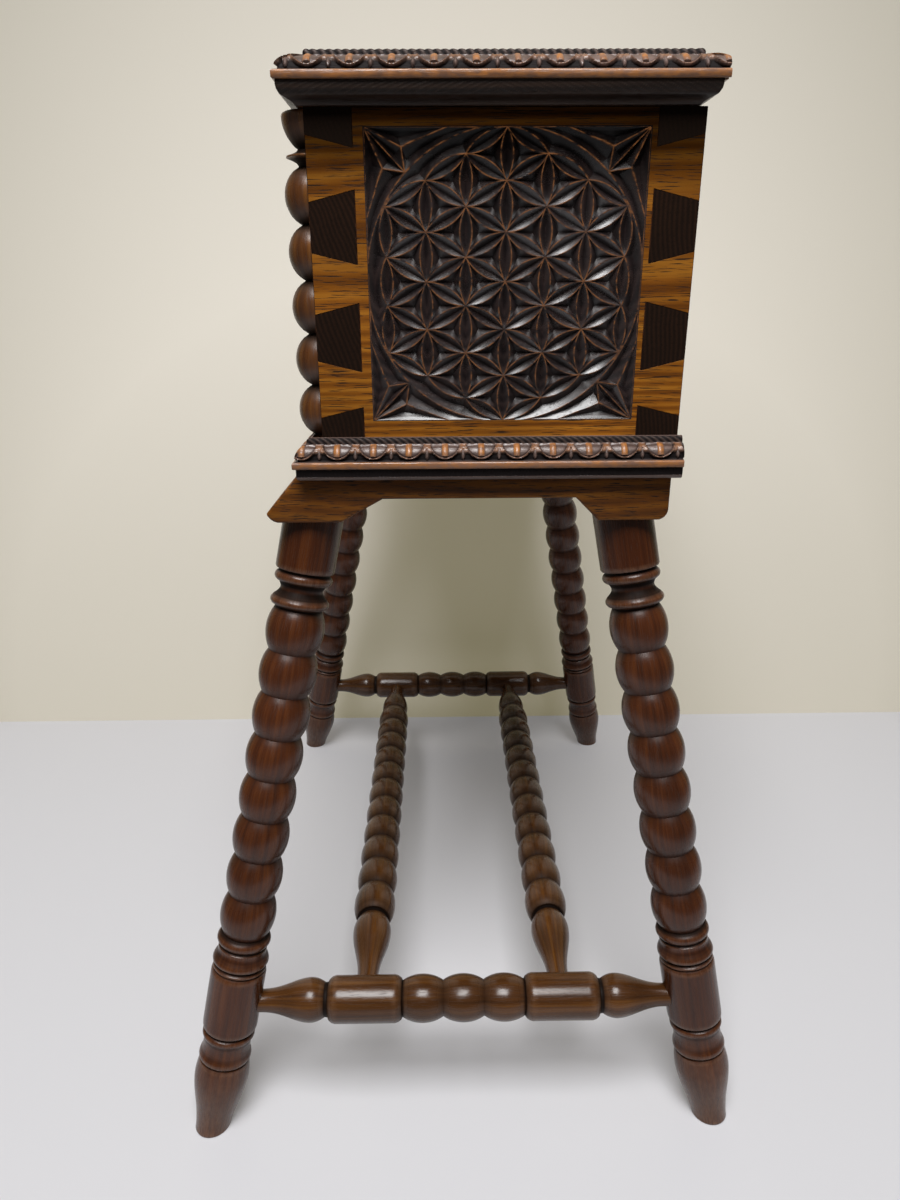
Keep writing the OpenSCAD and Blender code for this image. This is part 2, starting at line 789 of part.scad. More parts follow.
// Is this the middle of one of the rosette's circles?
function in_rosette(p) =
    abs(p[0]) < petal_rise * 3.1 && abs(p[1]) < (6.1 - abs(p[0]) / petal_rise) / 2 * petal_pitch;
function petal() =
    let (
        arc_r = petal_pitch - ridge_w / 2,
        reach = sqrt(arc_r * arc_r - petal_rise * petal_rise),
        x = reach * 0.42,
        w = (arc_r - petal_rise) * 0.8
    )
    [
        [-reach, 0, cut_top],
        [-x, w, cut_top],
        [-x, -w, cut_top],
        [-x, 0, -petal_depth],
        [x, w, cut_top],
        [x, -w, cut_top],
        [x, 0, -petal_depth],
        [reach, 0, cut_top]
    ];
function petals() = [
    for (a = lattice)
        for (angle = [-30, 30, 90])
            let (step = petal_pitch * [cos(angle), sin(angle)])
            if (in_rosette(a + step)) turned_to(petal(), angle, a + step / 2)
];
function pit(at, angle) = [
    for (k = [0 : 5])
        let (r = petal_pitch * (k % 2 == 0 ? 0.1375 : 0.40))
        [at[0] + r * cos(angle + 60 * k), at[1] + r * sin(angle + 60 * k), cut_top],
    [at[0], at[1], -pit_depth]
];
function rosette_pits() = [
    for (a = lattice)
        for (side = [-1, 1])
            if (in_rosette(a + [side * petal_rise, petal_pitch / 2])
                && in_rosette(a + [side * petal_rise, -petal_pitch / 2]))
                pit(a + [side * petal_rise * 2 / 3, 0], side < 0 ? 180 : 0)
];
// Cut between the rosette and its ring, beside three petals
function crescent() =
    let (
        tip_y = petal_pitch * 1.38,
        tip_x = sqrt(ring_r * ring_r - tip_y * tip_y) - ridge_w
    )
    [
        [tip_x, -tip_y, cut_top],
        for (k = [-1, -0.5, 0, 0.5, 1])
            let (
                y = k * petal_pitch,
                bulge = abs(k) == 0.5 ? 0 : petal_pitch - petal_rise,
                inner = 3 * petal_rise + bulge + ridge_w / 2,
                outer = sqrt(ring_r * ring_r - y * y) - ridge_w / 2
            )
            each [
                [inner, y, cut_top],
                [outer, y, cut_top],
                [(inner + outer) / 2, y, -min(pit_depth, (outer - inner) * 0.42)]
            ],
        [tip_x, tip_y, cut_top]
    ];
// Outlines of the corner cuts in halves of the square, each with its depth as a share of pit_depth
function corner_cut(pts) = [
    for (p = pts)
        [p[0] * carving_half, p[1] * carving_half, p[2] == 0 ? cut_top : -p[2] * pit_depth]
];
module corner_cuts() {
    // Along the ring
    long_cuts([corner_cut([
        [0.725, 0.795, 0],
        [0.680, 0.755, 0], [0.718, 0.870, 0], [0.692, 0.810, 0.92],
        [0.567, 0.840, 0], [0.577, 0.924, 0], [0.572, 0.882, 0.80],
        [0.412, 0.925, 0], [0.425, 0.985, 0], [0.418, 0.955, 0.50],
        [0.280, 0.985, 0]
    ])]);
    // Along the side of the square
    long_cuts([corner_cut([
        [0.980, 0.995, 0],
        [0.752, 0.886, 0], [0.830, 0.995, 0], [0.785, 0.945, 0.90],
        [0.590, 0.935, 0], [0.640, 0.995, 0], [0.602, 0.966, 0.50],
        [0.435, 0.995, 0]
    ])]);
    // Beside the diagonal
    pits([corner_cut([
        [0.968, 0.975, 0],
        [0.744, 0.864, 0],
        [0.730, 0.740, 0],
        [0.790, 0.830, 0.90]
    ])]);
}
module carving() {
    long_cuts(petals());
    pits(rosette_pits());
    long_cuts([for (k = [0 : 5]) turned_to(crescent(), 60 * k, [0, 0])]);
    for (k = [0 : 3])
        rotate(90 * k) {
            corner_cuts();
            mirror([1, -1, 0]) corner_cuts();
        }
}

// Pins of the front corner at the right end, longer by extra where they cut the end board
module corner_pins(extra) {
    outer = pin_w / 2 - pin_slope * (1 + extra / board_t);
    intersection() {
        for (k = [0 : tail_count])
            translate([half_l - board_t, 0, box_z + k * tail_pitch])
                rotate([90, 0, 90])
                    linear_extrude(board_t + extra)
                        polygon([
                            [-half_d - extra, -outer],
                            [-inner_d, -pin_w / 2],
                            [-inner_d, pin_w / 2],
                            [-half_d - extra, outer]
                        ]);
        translate([0, -box_d, box_z - extra]) cube([box_l, 2 * box_d, box_h + 2 * extra]);
    }
}
module pin_board() {
    translate([-inner_l, -half_d, box_z]) cube([2 * inner_l, board_t, box_h]);
    for (side = [-1, 1]) sided(side) corner_pins(0);
}
module front_board() {
    color(oak)
        at_box()
            difference() {
                pin_board();
                box_screw_places() screw_hole(box_screw_l, big_shank_r, big_head_r);
                for (side = [-1, 1])
                    translate([side * (half_l - column_inset) / 2, -half_d, carving_mid])
                        rotate([90, 0, 0]) carving();
            }
}
module back_board() {
    color(oak)
        at_box()
            difference() {
                mirror([0, 1, 0]) pin_board();
                box_screw_places() screw_hole(box_screw_l, big_shank_r, big_head_r);
                for (side = [-1, 1])
                    sided(side) {
                        hinge_place()
                            translate([-hinge_l / 2 - fit, half_d - leaf_w - fit, box_top - leaf_t - fit])
                                cube([hinge_l + 2 * fit, leaf_w + over, leaf_t + over]);
                        box_leaf_screws() screw_hole(small_screw_l, small_shank_r, small_head_r);
                    }
            }
}
module end_board(side) {
    color(oak)
        sided(side)
            at_box()
                difference() {
                    translate([inner_l, -half_d, box_z]) cube([board_t, box_d, box_h]);
                    corner_pins(over);
                    mirror([0, 1, 0]) corner_pins(over);
                    translate([half_l, carving_y, carving_mid])
                        rotate([90, 0, 90]) carving();
                }
}

// Half column from the base board up: beads that clear the base's rope, a ring between two necks,
// and a bell
module half_column(x) {
    r = column_r;
    ring_z = box_h - bell_h - column_ring_h;
    n = column_ring_h;
    color(dark_oak)
        at_box()
            translate([x, -half_d, box_z])
                intersection() {
                    turned_from(concat(
                        [[r * 0.42, 0]],
                        bead_row(base_rope_h + fit, ring_z, column_beads, r, r * 0.42),
                        hollow(ring_z + n * 0.05, ring_z + n * 0.50, r * 0.42, r * 0.85, 1.5, 6),
                        [[r * 0.85, ring_z + n * 0.60]],
                        hollow(ring_z + n * 0.62, ring_z + n, r * 0.80, r * 0.42, 1.5, 6),
                        [
                            for (i = [1 : 10])
                                let (t = i / 10)
                                [
                                    r * (0.42 + 0.53 * sin(90 * pow(t, 0.8))),
                                    ring_z + n + (bell_h - 2) * t
                                ]
                        ],
                        [[r * 0.91, box_h - 0.7], [r * 0.82, box_h]]
                    ));
                    translate([-2 * r, -2 * r, -over]) cube([4 * r, 2 * r, box_h + 2 * over]);
                }
}

module lid_board() {
    color(oak)
        at_box()
            difference() {
                union() {
                    translate([-half_l, -lid_front, lid_z])
                        cube([box_l, lid_front + cove_back_edge, lid_low_h]);
                    translate([-half_l + lid_rabbet, -lid_front + lid_rabbet, lid_mid - over])
                        cube([
                            box_l - 2 * lid_rabbet,
                            lid_front + lid_back_edge - 2 * lid_rabbet,
                            lid_t - lid_low_h + over
                        ]);
                }
                lid_hinge_space();
                for (side = [-1, 1])
                    sided(side) lid_leaf_screws() screw_hole(small_screw_l, small_shank_r, small_head_r);
            }
}
// What the lid's wood leaves free for its hinges: the room for the knuckles and the leaves' seats
module lid_hinge_space() {
    for (side = [-1, 1])
        sided(side)
            hinge_place() {
                translate([-hinge_l / 2 - notch_gap, half_d - over, lid_z - over])
                    cube([
                        hinge_l + 2 * notch_gap,
                        lid_back_ledge + 2 * over,
                        hinge_up + knuckle_r + notch_gap + over
                    ]);
                translate([-hinge_l / 2 - fit, half_d - leaf_w - fit, lid_z - over])
                    cube([hinge_l + 2 * fit, leaf_w + over, leaf_t + fit + over]);
            }
}

module hinge_place() {
    translate([hinge_gap / 2, 0, 0]) children();
}
module box_leaf_screws() {
    hinge_place()
        for (k = small_screw_x)
            translate([k * hinge_l, leaf_screw_y, box_top])
                mirror([0, 0, 1]) children();
}
module lid_leaf_screws() {
    hinge_place()
        for (k = small_screw_x)
            translate([k * hinge_l, leaf_screw_y, lid_z]) children();
}
// Knuckle from x = a to x = b on the hinge line, joined to the children, with its pin hole
module knuckle(a, b) {
    difference() {
        union() {
            translate([a, pivot_y, pivot_z]) rotate([0, 90, 0]) cylinder(r = knuckle_r, h = b - a);
            children();
        }
        translate([a - over, pivot_y, pivot_z])
            rotate([0, 90, 0])
                cylinder(r = hinge_pin_r + fit, h = b - a + 2 * over);
    }
}
module box_knuckle(a, b) {
    knuckle(a, b) {
        translate([a, half_d + gap, box_top - leaf_t])
            cube([b - a, hinge_out - gap, pivot_z - box_top + leaf_t]);
        translate([a, half_d - over, box_top - leaf_t])
            cube([b - a, hinge_out + over, leaf_t]);
    }
}
// The lid's knuckle carries the lug that stops the lid: drawn where it bears on the back board,
// then turned back to the closed lid
module lid_knuckle(a, b) {
    knuckle(a, b) {
        translate([a, half_d - over, lid_z]) cube([b - a, hinge_out + over, hinge_up]);
        translate([a, pivot_y, pivot_z])
            rotate([lid_open, 0, 0])
                translate([0, gap - hinge_out, -lug_to])
                    cube([b - a, hinge_out - gap, lug_to - lug_from]);
    }
}
module hinge_box_leaf(side) {
    outer = hinge_l / 2;
    inner = knuckle_l / 2 + knuckle_gap / 2;
    color(brass)
        at_box()
            sided(side)
                difference() {
                    hinge_place() {
                        translate([-outer, half_d - leaf_w, box_top - leaf_t])
                            cube([hinge_l, leaf_w, leaf_t]);
                        box_knuckle(-outer, -inner);
                        box_knuckle(inner, outer);
                    }
                    box_leaf_screws() screw_hole(small_screw_l, small_shank_r, small_head_r);
                }
}
module hinge_lid_leaf(side) {
    outer = hinge_l / 2;
    inner = knuckle_l / 2 - knuckle_gap / 2;
    color(brass)
        at_box()
            sided(side)
                difference() {
                    hinge_place() {
                        translate([-outer, half_d - leaf_w, lid_z])
                            cube([hinge_l, leaf_w - gap, leaf_t]);
                        lid_knuckle(-inner, inner);
                    }
                    lid_leaf_screws() screw_hole(small_screw_l, small_shank_r, small_head_r);
                }
}
module hinge_pin(side) {
    length = hinge_l + 1.6;
    color(brass)
        at_box()
            sided(side)
                hinge_place()
                    translate([-length / 2, pivot_y, pivot_z])
                        rotate([0, 90, 0])
                            cylinder(r = hinge_pin_r, h = length);
}
module hinge_screws_box() {
    color(brass)
        at_box()
            for (side = [-1, 1])
                sided(side) box_leaf_screws() screw(small_screw_l, small_shank_r, small_head_r);
}
module hinge_screws_lid() {
    color(brass)
        at_box()
            for (side = [-1, 1])
                sided(side) lid_leaf_screws() screw(small_screw_l, small_shank_r, small_head_r);
}

// Runner on the front board's inner face when s is -1, on the back board's when s is 1
module tray_runner(s) {
    color(oak)
        at_box()
            translate([-inner_l, s < 0 ? -inner_d : inner_d - runner_w, tray_z - gap - runner_h])
                cube([2 * inner_l, runner_w, runner_h]);
}
module tray_bottom() {
    color(pale_wood)
        at_box()
            translate([tray_x, -tray_side, tray_z]) cube([tray_l, 2 * tray_side, tray_floor_t]);
}
module tray_long_wall(s) {
    color(oak)
        at_box()
            translate([tray_x, s < 0 ? -tray_side : tray_side - tray_wall, tray_wall_z])
                cube([tray_l, tray_wall, tray_wall_h]);
}
module tray_short_wall(x) {
    color(oak)
        at_box()
            translate([x, -tray_side + tray_wall, tray_wall_z])
                cube([tray_wall, 2 * (tray_side - tray_wall), tray_wall_h]);
}
module tray_divider_long() {
    color(pale_wood)
        at_box()
            translate([tray_x + tray_wall, -divider_t / 2, tray_wall_z])
                cube([tray_l - 2 * tray_wall, divider_t, divider_h]);
}
module tray_divider_short(s) {
    run = tray_side - tray_wall - divider_t / 2;
    color(pale_wood)
        at_box()
            translate([divider_x, s < 0 ? -divider_t / 2 - run : divider_t / 2, tray_wall_z])
                cube([divider_t, run, divider_h]);
}

leg(-1, front_foot, front_top);  // leg_front_left
leg(1, front_foot, front_top);  // leg_front_right
leg(-1, back_foot, back_top);  // leg_back_left
leg(1, back_foot, back_top);  // leg_back_right
end_rail(-1);  // end_rail_left
end_rail(1);  // end_rail_right
end_stretcher(-1);  // end_stretcher_left
end_stretcher(1);  // end_stretcher_right
long_stretcher(-1);  // long_stretcher_front
long_stretcher(1);  // long_stretcher_back
rail_screws();
base_board();
base_moulding_front();
base_moulding_end(-1);  // base_moulding_left
base_moulding_end(1);  // base_moulding_right
base_screws();
front_board();
back_board();
end_board(-1);  // end_board_left
end_board(1);  // end_board_right
half_column(-half_l + column_inset);  // half_column_left
half_column(0);  // half_column_centre
half_column(half_l - column_inset);  // half_column_right
lid_board();
lid_moulding_front();
lid_moulding_end(-1);  // lid_moulding_left
lid_moulding_end(1);  // lid_moulding_right
lid_moulding_back();
lid_cove_front();
lid_cove_end(-1);  // lid_cove_left
lid_cove_end(1);  // lid_cove_right
lid_cove_back();
hinge_box_leaf(-1);  // hinge_box_leaf_left
hinge_box_leaf(1);  // hinge_box_leaf_right
hinge_lid_leaf(-1);  // hinge_lid_leaf_left
hinge_lid_leaf(1);  // hinge_lid_leaf_right
hinge_pin(-1);  // hinge_pin_left
hinge_pin(1);  // hinge_pin_right
hinge_screws_box();
hinge_screws_lid();
tray_runner(-1);  // tray_runner_front
tray_runner(1);  // tray_runner_back
tray_bottom();
tray_long_wall(-1);  // tray_front
tray_long_wall(1);  // tray_back
tray_short_wall(tray_x);  // tray_left
tray_short_wall(tray_end - tray_wall);  // tray_right
tray_divider_long();
tray_divider_short(-1);  // tray_divider_front
tray_divider_short(1);  // tray_divider_back
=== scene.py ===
"""Sewing cabinet: the looks of the chest, its lid, its tray and the turned stand, built round the frame."""
import math

import bmesh
import bpy
import numpy as np
from mathutils import Matrix, Vector
from mathutils.geometry import delaunay_2d_cdt


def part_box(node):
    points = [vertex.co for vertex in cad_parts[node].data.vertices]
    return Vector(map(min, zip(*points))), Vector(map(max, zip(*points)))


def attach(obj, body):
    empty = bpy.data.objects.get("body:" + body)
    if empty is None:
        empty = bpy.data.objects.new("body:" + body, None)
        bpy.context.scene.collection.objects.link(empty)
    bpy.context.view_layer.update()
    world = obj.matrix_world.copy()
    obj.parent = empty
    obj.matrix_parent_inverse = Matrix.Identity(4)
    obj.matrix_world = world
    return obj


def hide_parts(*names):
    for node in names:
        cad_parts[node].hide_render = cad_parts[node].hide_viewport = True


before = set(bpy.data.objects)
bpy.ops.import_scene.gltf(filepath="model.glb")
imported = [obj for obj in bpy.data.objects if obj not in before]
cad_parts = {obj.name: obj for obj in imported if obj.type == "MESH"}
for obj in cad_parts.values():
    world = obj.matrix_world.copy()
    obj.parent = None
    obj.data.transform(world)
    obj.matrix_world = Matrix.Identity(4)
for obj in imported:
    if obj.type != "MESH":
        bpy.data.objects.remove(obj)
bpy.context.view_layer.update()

# Lengths below are in millimetres unless a name says otherwise
MM = 0.001


def corners(node):
    """Lowest and highest corner of a CAD node."""
    lo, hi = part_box(node)
    return np.array(lo) / MM, np.array(hi) / MM


# Sizes of the chest, from the frame
end_lo, end_hi = corners("end_board_right")
half_l = end_hi[0]
front_y, back_y = end_lo[1], end_hi[1]
mid_y = (front_y + back_y) / 2
half_d = (back_y - front_y) / 2
box_z, box_top = end_lo[2], end_hi[2]
box_h = box_top - box_z
board_t = end_hi[0] - end_lo[0]
inner_l, inner_d = half_l - board_t, half_d - board_t
rail_z = corners("end_rail_right")[0][2]

# Dovetails of an end, and half the height of a pin at the box's inner and outer face
TAILS = 3
PIN_INNER = 19.25
PIN_OUTER = 12.95
TAIL_PITCH = box_h / TAILS

# Clearance between a dovetail and its pin, which shows as a fine dark line
JOINT_EDGE = 0.3


def seeded(name):
    """Random numbers that depend on a piece's name alone."""
    return np.random.default_rng([ord(letter) for letter in name])


def wobble(rng, *coords):
    """Smooth random field from -1 to 1 over coordinates that are already scaled to about one wave a unit."""
    waves = 5
    total = 0
    for _ in range(waves):
        phase = rng.uniform(0, 2 * math.pi)
        turn = sum(c * rng.uniform(0.3, 1.0) * rng.choice([-1, 1]) * 2 * math.pi for c in coords)
        total = total + np.sin(turn + phase)
    return total / waves


def round_points(turns):
    """Points of the unit circle at angles in radians, the last axis being x and y."""
    return np.stack([np.cos(turns), np.sin(turns)], axis=-1)


def grid_faces(index):
    """Quads between neighbouring rows and columns of a grid of point numbers."""
    quads = (index[:-1, :-1], index[:-1, 1:], index[1:, 1:], index[1:, :-1])
    return np.stack(quads, axis=-1).reshape(-1, 4).tolist()


def add_object(name, data):
    thing = bpy.data.objects.new(name, data)
    bpy.context.scene.collection.objects.link(thing)
    return thing


# Materials
def add_node(tree, kind, inputs=None, **settings):
    """New shader node: settings are its properties, inputs are values or sockets by name or number."""
    node = tree.nodes.new(kind)
    for key, value in settings.items():
        setattr(node, key, value)
    for key, value in (inputs or {}).items():
        if isinstance(value, bpy.types.NodeSocket):
            tree.links.new(value, node.inputs[key])
        else:
            node.inputs[key].default_value = value
    return node


def ramp(tree, value, stops):
    """Colour ramp over (position, colour or grey) stops."""
    node = add_node(tree, "ShaderNodeValToRGB", {"Fac": value})
    elements = node.color_ramp.elements
    while len(elements) < len(stops):
        elements.new(0.5)
    for element, (position, colour) in zip(elements, stops):
        element.position = position
        grey = not isinstance(colour, tuple)
        element.color = (colour, colour, colour, 1) if grey else (*colour, 1)
    return node.outputs["Color"]


def math_node(tree, operation, a, b=0.0, clamp=False):
    return add_node(tree, "ShaderNodeMath", {0: a, 1: b}, operation=operation, use_clamp=clamp).outputs[0]


def times(tree, a, b, clamp=False):
    return math_node(tree, "MULTIPLY", a, b, clamp)


def plus(tree, a, b, clamp=False):
    return math_node(tree, "ADD", a, b, clamp)


def mix_colour(tree, factor, a, b, blend="MIX"):
    node = add_node(tree, "ShaderNodeMix", data_type="RGBA", blend_type=blend)
    for key, value in (("Factor", factor), ("A", a), ("B", b)):
        # The colour sockets of a Mix node share their names with its other types
        socket = [s for s in node.inputs if s.name == key and s.enabled][0]
        if isinstance(value, bpy.types.NodeSocket):
            tree.links.new(value, socket)
        else:
            socket.default_value = value if key == "Factor" else (*value, 1)
    return [s for s in node.outputs if s.enabled][0]


def noise(tree, coords, scale, detail=3.0, rough=0.5, seed=0.0):
    """Noise over coordinates in metres, scaled by (along, across, across) waves a metre."""
    placed = {"Vector": coords, "Location": (seed, seed * 2, seed * 3), "Scale": scale}
    vector = add_node(tree, "ShaderNodeMapping", placed).outputs[0]
    look = {"Vector": vector, "Scale": 1.0, "Detail": detail, "Roughness": rough}
    return add_node(tree, "ShaderNodeTexNoise", look).outputs["Fac"]


def attribute(tree, name):
    return add_node(tree, "ShaderNodeAttribute", attribute_name=name)


def object_coords(tree):
    return add_node(tree, "ShaderNodeTexCoord").outputs["Object"]


def add_bumps(tree, shader, height, strength, distance):
    bumps = add_node(tree, "ShaderNodeBump", {"Height": height, "Strength": strength, "Distance": distance})
    tree.links.new(bumps.outputs[0], shader.inputs["Normal"])


def new_material(name):
    """New material, its node tree and its shader."""
    material = bpy.data.materials.new(name)
    material.use_nodes = True
    return material, material.node_tree, material.node_tree.nodes["Principled BSDF"]


# Painted shade of the lid's overhang on the box's top: where it begins in metres, and the brightness left at
# heights above that
PAINTED_LID_SHADE_BASE = (box_top - 47) * MM
PAINTED_LID_SHADE = [(0.0, 1.0), (0.028, 0.20)]


def wood(
    name, dark, mid, light, worn=None, wear_edge=1.0, wear_gaps=0.35, dirt_and_shade=(0.012, 0.008, 0.006),
    dirt_and_shade_power=0.9, streak=(7, 170, 170), ring_scale=70, ring_share=0.35, ring_bend=0.012, pore=0.5,
    pore_scale=(110, 2100, 2100), polish=0.36, polish_spread=0.14, bump=0.25, specular=0.5, shaded=False,
):
    """Wood with rings, streaks and pores along its grain, worn on its ridges, and dark in its hollows with
    grime and painted shade.

    streak and pore_scale are waves a metre along and across the grain, polish is the roughness and
    polish_spread how far it strays. A high wear_edge keeps wear to the sharpest ridges, and wear_gaps is
    what is left of it in patches. Shaded wood has the lid's shadow painted on: it grows dark and dull
    towards the lid."""
    material, tree, shader = new_material(name)
    coords = attribute(tree, "grain").outputs["Vector"]

    # Growth rings round a far line along the grain, bent by a slow noise
    bend = noise(tree, coords, (4, 16, 16), detail=2)
    shift = add_node(tree, "ShaderNodeCombineXYZ", {"Y": bend, "Z": bend}).outputs[0]
    terms = {0: shift, 1: (0, ring_bend, ring_bend), 2: coords}
    bent = add_node(tree, "ShaderNodeVectorMath", terms, operation="MULTIPLY_ADD").outputs[0]
    wave = {"Vector": bent, "Scale": ring_scale, "Distortion": 0.6, "Detail": 2, "Detail Scale": 30.0}
    rings = add_node(tree, "ShaderNodeTexWave", wave, wave_type="RINGS", rings_direction="X").outputs["Fac"]
    streaks = noise(tree, coords, streak, detail=5, rough=0.62)
    tone = plus(tree, times(tree, rings, ring_share), times(tree, streaks, 1 - ring_share))
    colour = ramp(tree, tone, [(0.22, dark), (0.48, mid), (0.74, light)])

    # Slow change of tone over the piece
    cloud = noise(tree, coords, (11, 19, 19), detail=3, seed=4.2)
    colour = mix_colour(tree, 1.0, colour, ramp(tree, cloud, [(0.3, 0.72), (0.7, 1.18)]), "MULTIPLY")

    # Hollows shine less than the rubbed wood, and so does the painted shade of the lid's overhang under its
    # edge
    hollow = attribute(tree, "depth").outputs["Fac"]
    shader.inputs["Specular IOR Level"].default_value = specular
    if worn or shaded:
        shine = math_node(tree, "SUBTRACT", specular, times(tree, hollow, 0.75 * specular))
        # Painted shade of the lid's overhang: the top of the box is painted dark and dull
        if shaded:
            height = add_node(tree, "ShaderNodeSeparateXYZ", {0: object_coords(tree)}).outputs["Z"]
            fall = ramp(tree, math_node(tree, "SUBTRACT", height, PAINTED_LID_SHADE_BASE), PAINTED_LID_SHADE)
            colour = mix_colour(tree, 1.0, colour, fall, "MULTIPLY")
            shine = times(tree, fall, shine)
        tree.links.new(shine, shader.inputs["Specular IOR Level"])

    # Open pores: short dark flecks along the grain
    flecks = noise(tree, coords, pore_scale, detail=2, seed=1.7)
    pores = ramp(tree, flecks, [(0.36, 1.0), (0.43, 0.0)])
    colour = mix_colour(tree, times(tree, pores, pore), colour, dirt_and_shade)

    if worn:
        patches = noise(tree, coords, (180, 420, 420), detail=4, seed=2.9)
        wear = math_node(tree, "POWER", attribute(tree, "wear").outputs["Fac"], wear_edge)
        wear = times(tree, wear, ramp(tree, patches, [(0.36, wear_gaps), (0.62, 1.0)]), clamp=True)
        colour = mix_colour(tree, wear, colour, worn)
    # Hollows darken: grime, with painted shade where crests and recesses would shade them
    colour = mix_colour(tree, times(tree, hollow, dirt_and_shade_power, clamp=True), colour, dirt_and_shade)
    tree.links.new(colour, shader.inputs["Base Color"])

    # Polish is duller in the pores and the hollows
    rubbed = noise(tree, coords, (45, 160, 160), detail=4, seed=7.7)
    rough = plus(tree, times(tree, rubbed, polish_spread * 2), polish - polish_spread)
    rough = plus(tree, rough, times(tree, pores, 0.2))
    rough = plus(tree, rough, times(tree, hollow, 0.35), clamp=True)
    tree.links.new(rough, shader.inputs["Roughness"])

    fibres = noise(tree, coords, (60, 1300, 1300), detail=3, seed=5.1)
    add_bumps(tree, shader, math_node(tree, "SUBTRACT", times(tree, fibres, 0.35), pores), bump, 0.0004)
    return material


def metal(name, colour, tarnish, rough):
    """Old metal with tarnish in blotches and fine scratches."""
    material, tree, shader = new_material(name)
    coords = object_coords(tree)
    blotches = noise(tree, coords, (160, 160, 160), detail=5, rough=0.65)
    colour = mix_colour(tree, ramp(tree, blotches, [(0.42, 0.0), (0.62, 1.0)]), colour, tarnish)
    tree.links.new(colour, shader.inputs["Base Color"])
    scratches = noise(tree, coords, (300, 2600, 2600), detail=3, seed=3.1)
    tree.links.new(plus(tree, times(tree, scratches, 0.25), rough - 0.1), shader.inputs["Roughness"])
    add_bumps(tree, shader, blotches, 0.2, 0.0003)
    shader.inputs["Metallic"].default_value = 1.0
    return material


oak = wood(
    "oak", (0.115, 0.034, 0.004), (0.26, 0.086, 0.008), (0.42, 0.165, 0.018), worn=(0.44, 0.20, 0.06),
    ring_scale=95, ring_share=0.28, pore=0.9, pore_scale=(70, 1700, 1700), polish=0.42, specular=0.15,
    shaded=True,
)
end_grain = wood(
    "oak_end_grain", (0.024, 0.008, 0.004), (0.068, 0.024, 0.013), (0.13, 0.050, 0.024),
    streak=(30, 300, 300), ring_scale=120, ring_share=0.5, pore_scale=(110, 1200, 600), polish=0.5,
    specular=0.05, shaded=True,
)
carved_oak = wood(
    "carved_oak", (0.009, 0.006, 0.006), (0.018, 0.011, 0.011), (0.034, 0.021, 0.019),
    worn=(0.22, 0.085, 0.028), wear_edge=16.0, wear_gaps=0.0, pore=0.2, polish=0.28, polish_spread=0.04,
    bump=0.04, specular=0.85, shaded=True,
)
rail_oak = wood(
    "rail_oak", (0.055, 0.017, 0.002), (0.15, 0.047, 0.005), (0.26, 0.095, 0.010), ring_share=0.25,
    pore=0.9, pore_scale=(90, 1500, 1500), polish=0.42, specular=0.25,
)
lid_wood = wood(
    "lid_oak", (0.045, 0.016, 0.004), (0.11, 0.040, 0.009), (0.19, 0.078, 0.018), ring_share=0.16,
    ring_bend=0.03, pore=0.7, specular=0.4,
)
moulded = wood(
    "moulded_oak", (0.070, 0.040, 0.032), (0.135, 0.084, 0.068), (0.20, 0.130, 0.110),
    worn=(0.42, 0.16, 0.038), dirt_and_shade=(0.008, 0.005, 0.005), dirt_and_shade_power=1.0, pore=0.35, polish=0.32,
    polish_spread=0.08, specular=0.6,
)
dark_moulded = wood(
    "dark_moulded_oak", (0.012, 0.007, 0.005), (0.024, 0.014, 0.011), (0.042, 0.024, 0.017),
    worn=(0.11, 0.07, 0.05), pore=0.3, specular=0.3,
)
walnut = wood(
    "turned_walnut", (0.028, 0.007, 0.002), (0.064, 0.0160, 0.0040), (0.118, 0.034, 0.0075),
    worn=(0.18, 0.085, 0.045), dirt_and_shade=(0.005, 0.003, 0.002), streak=(9, 330, 330), ring_scale=35,
    ring_share=0.1, pore=0.2, polish=0.24, polish_spread=0.07, bump=0.08, specular=0.42,
)
stretcher_wood = wood(
    "turned_stretcher", (0.034, 0.012, 0.003), (0.077, 0.027, 0.006), (0.140, 0.056, 0.012),
    worn=(0.20, 0.10, 0.05), dirt_and_shade=(0.006, 0.003, 0.002), dirt_and_shade_power=1.0, streak=(9, 330, 330),
    ring_scale=35, ring_share=0.1, pore=0.2, polish=0.22, polish_spread=0.06, bump=0.08, specular=0.45,
)
column_wood = wood(
    "half_column", (0.045, 0.013, 0.003), (0.095, 0.030, 0.006), (0.19, 0.070, 0.011),
    worn=(0.24, 0.10, 0.03), streak=(9, 280, 280), ring_share=0.1, pore=0.2, polish=0.28, bump=0.08,
    specular=0.6,
)
plain_wood = wood(
    "inside_wood", (0.20, 0.108, 0.044), (0.30, 0.17, 0.075), (0.39, 0.24, 0.115), ring_share=0.16,
    ring_bend=0.03, pore=0.4, polish=0.6, specular=0.35,
)
brass = metal("old_brass", (0.46, 0.32, 0.12), (0.10, 0.065, 0.03), 0.42)
steel = metal("old_steel", (0.30, 0.28, 0.26), (0.07, 0.05, 0.04), 0.5)


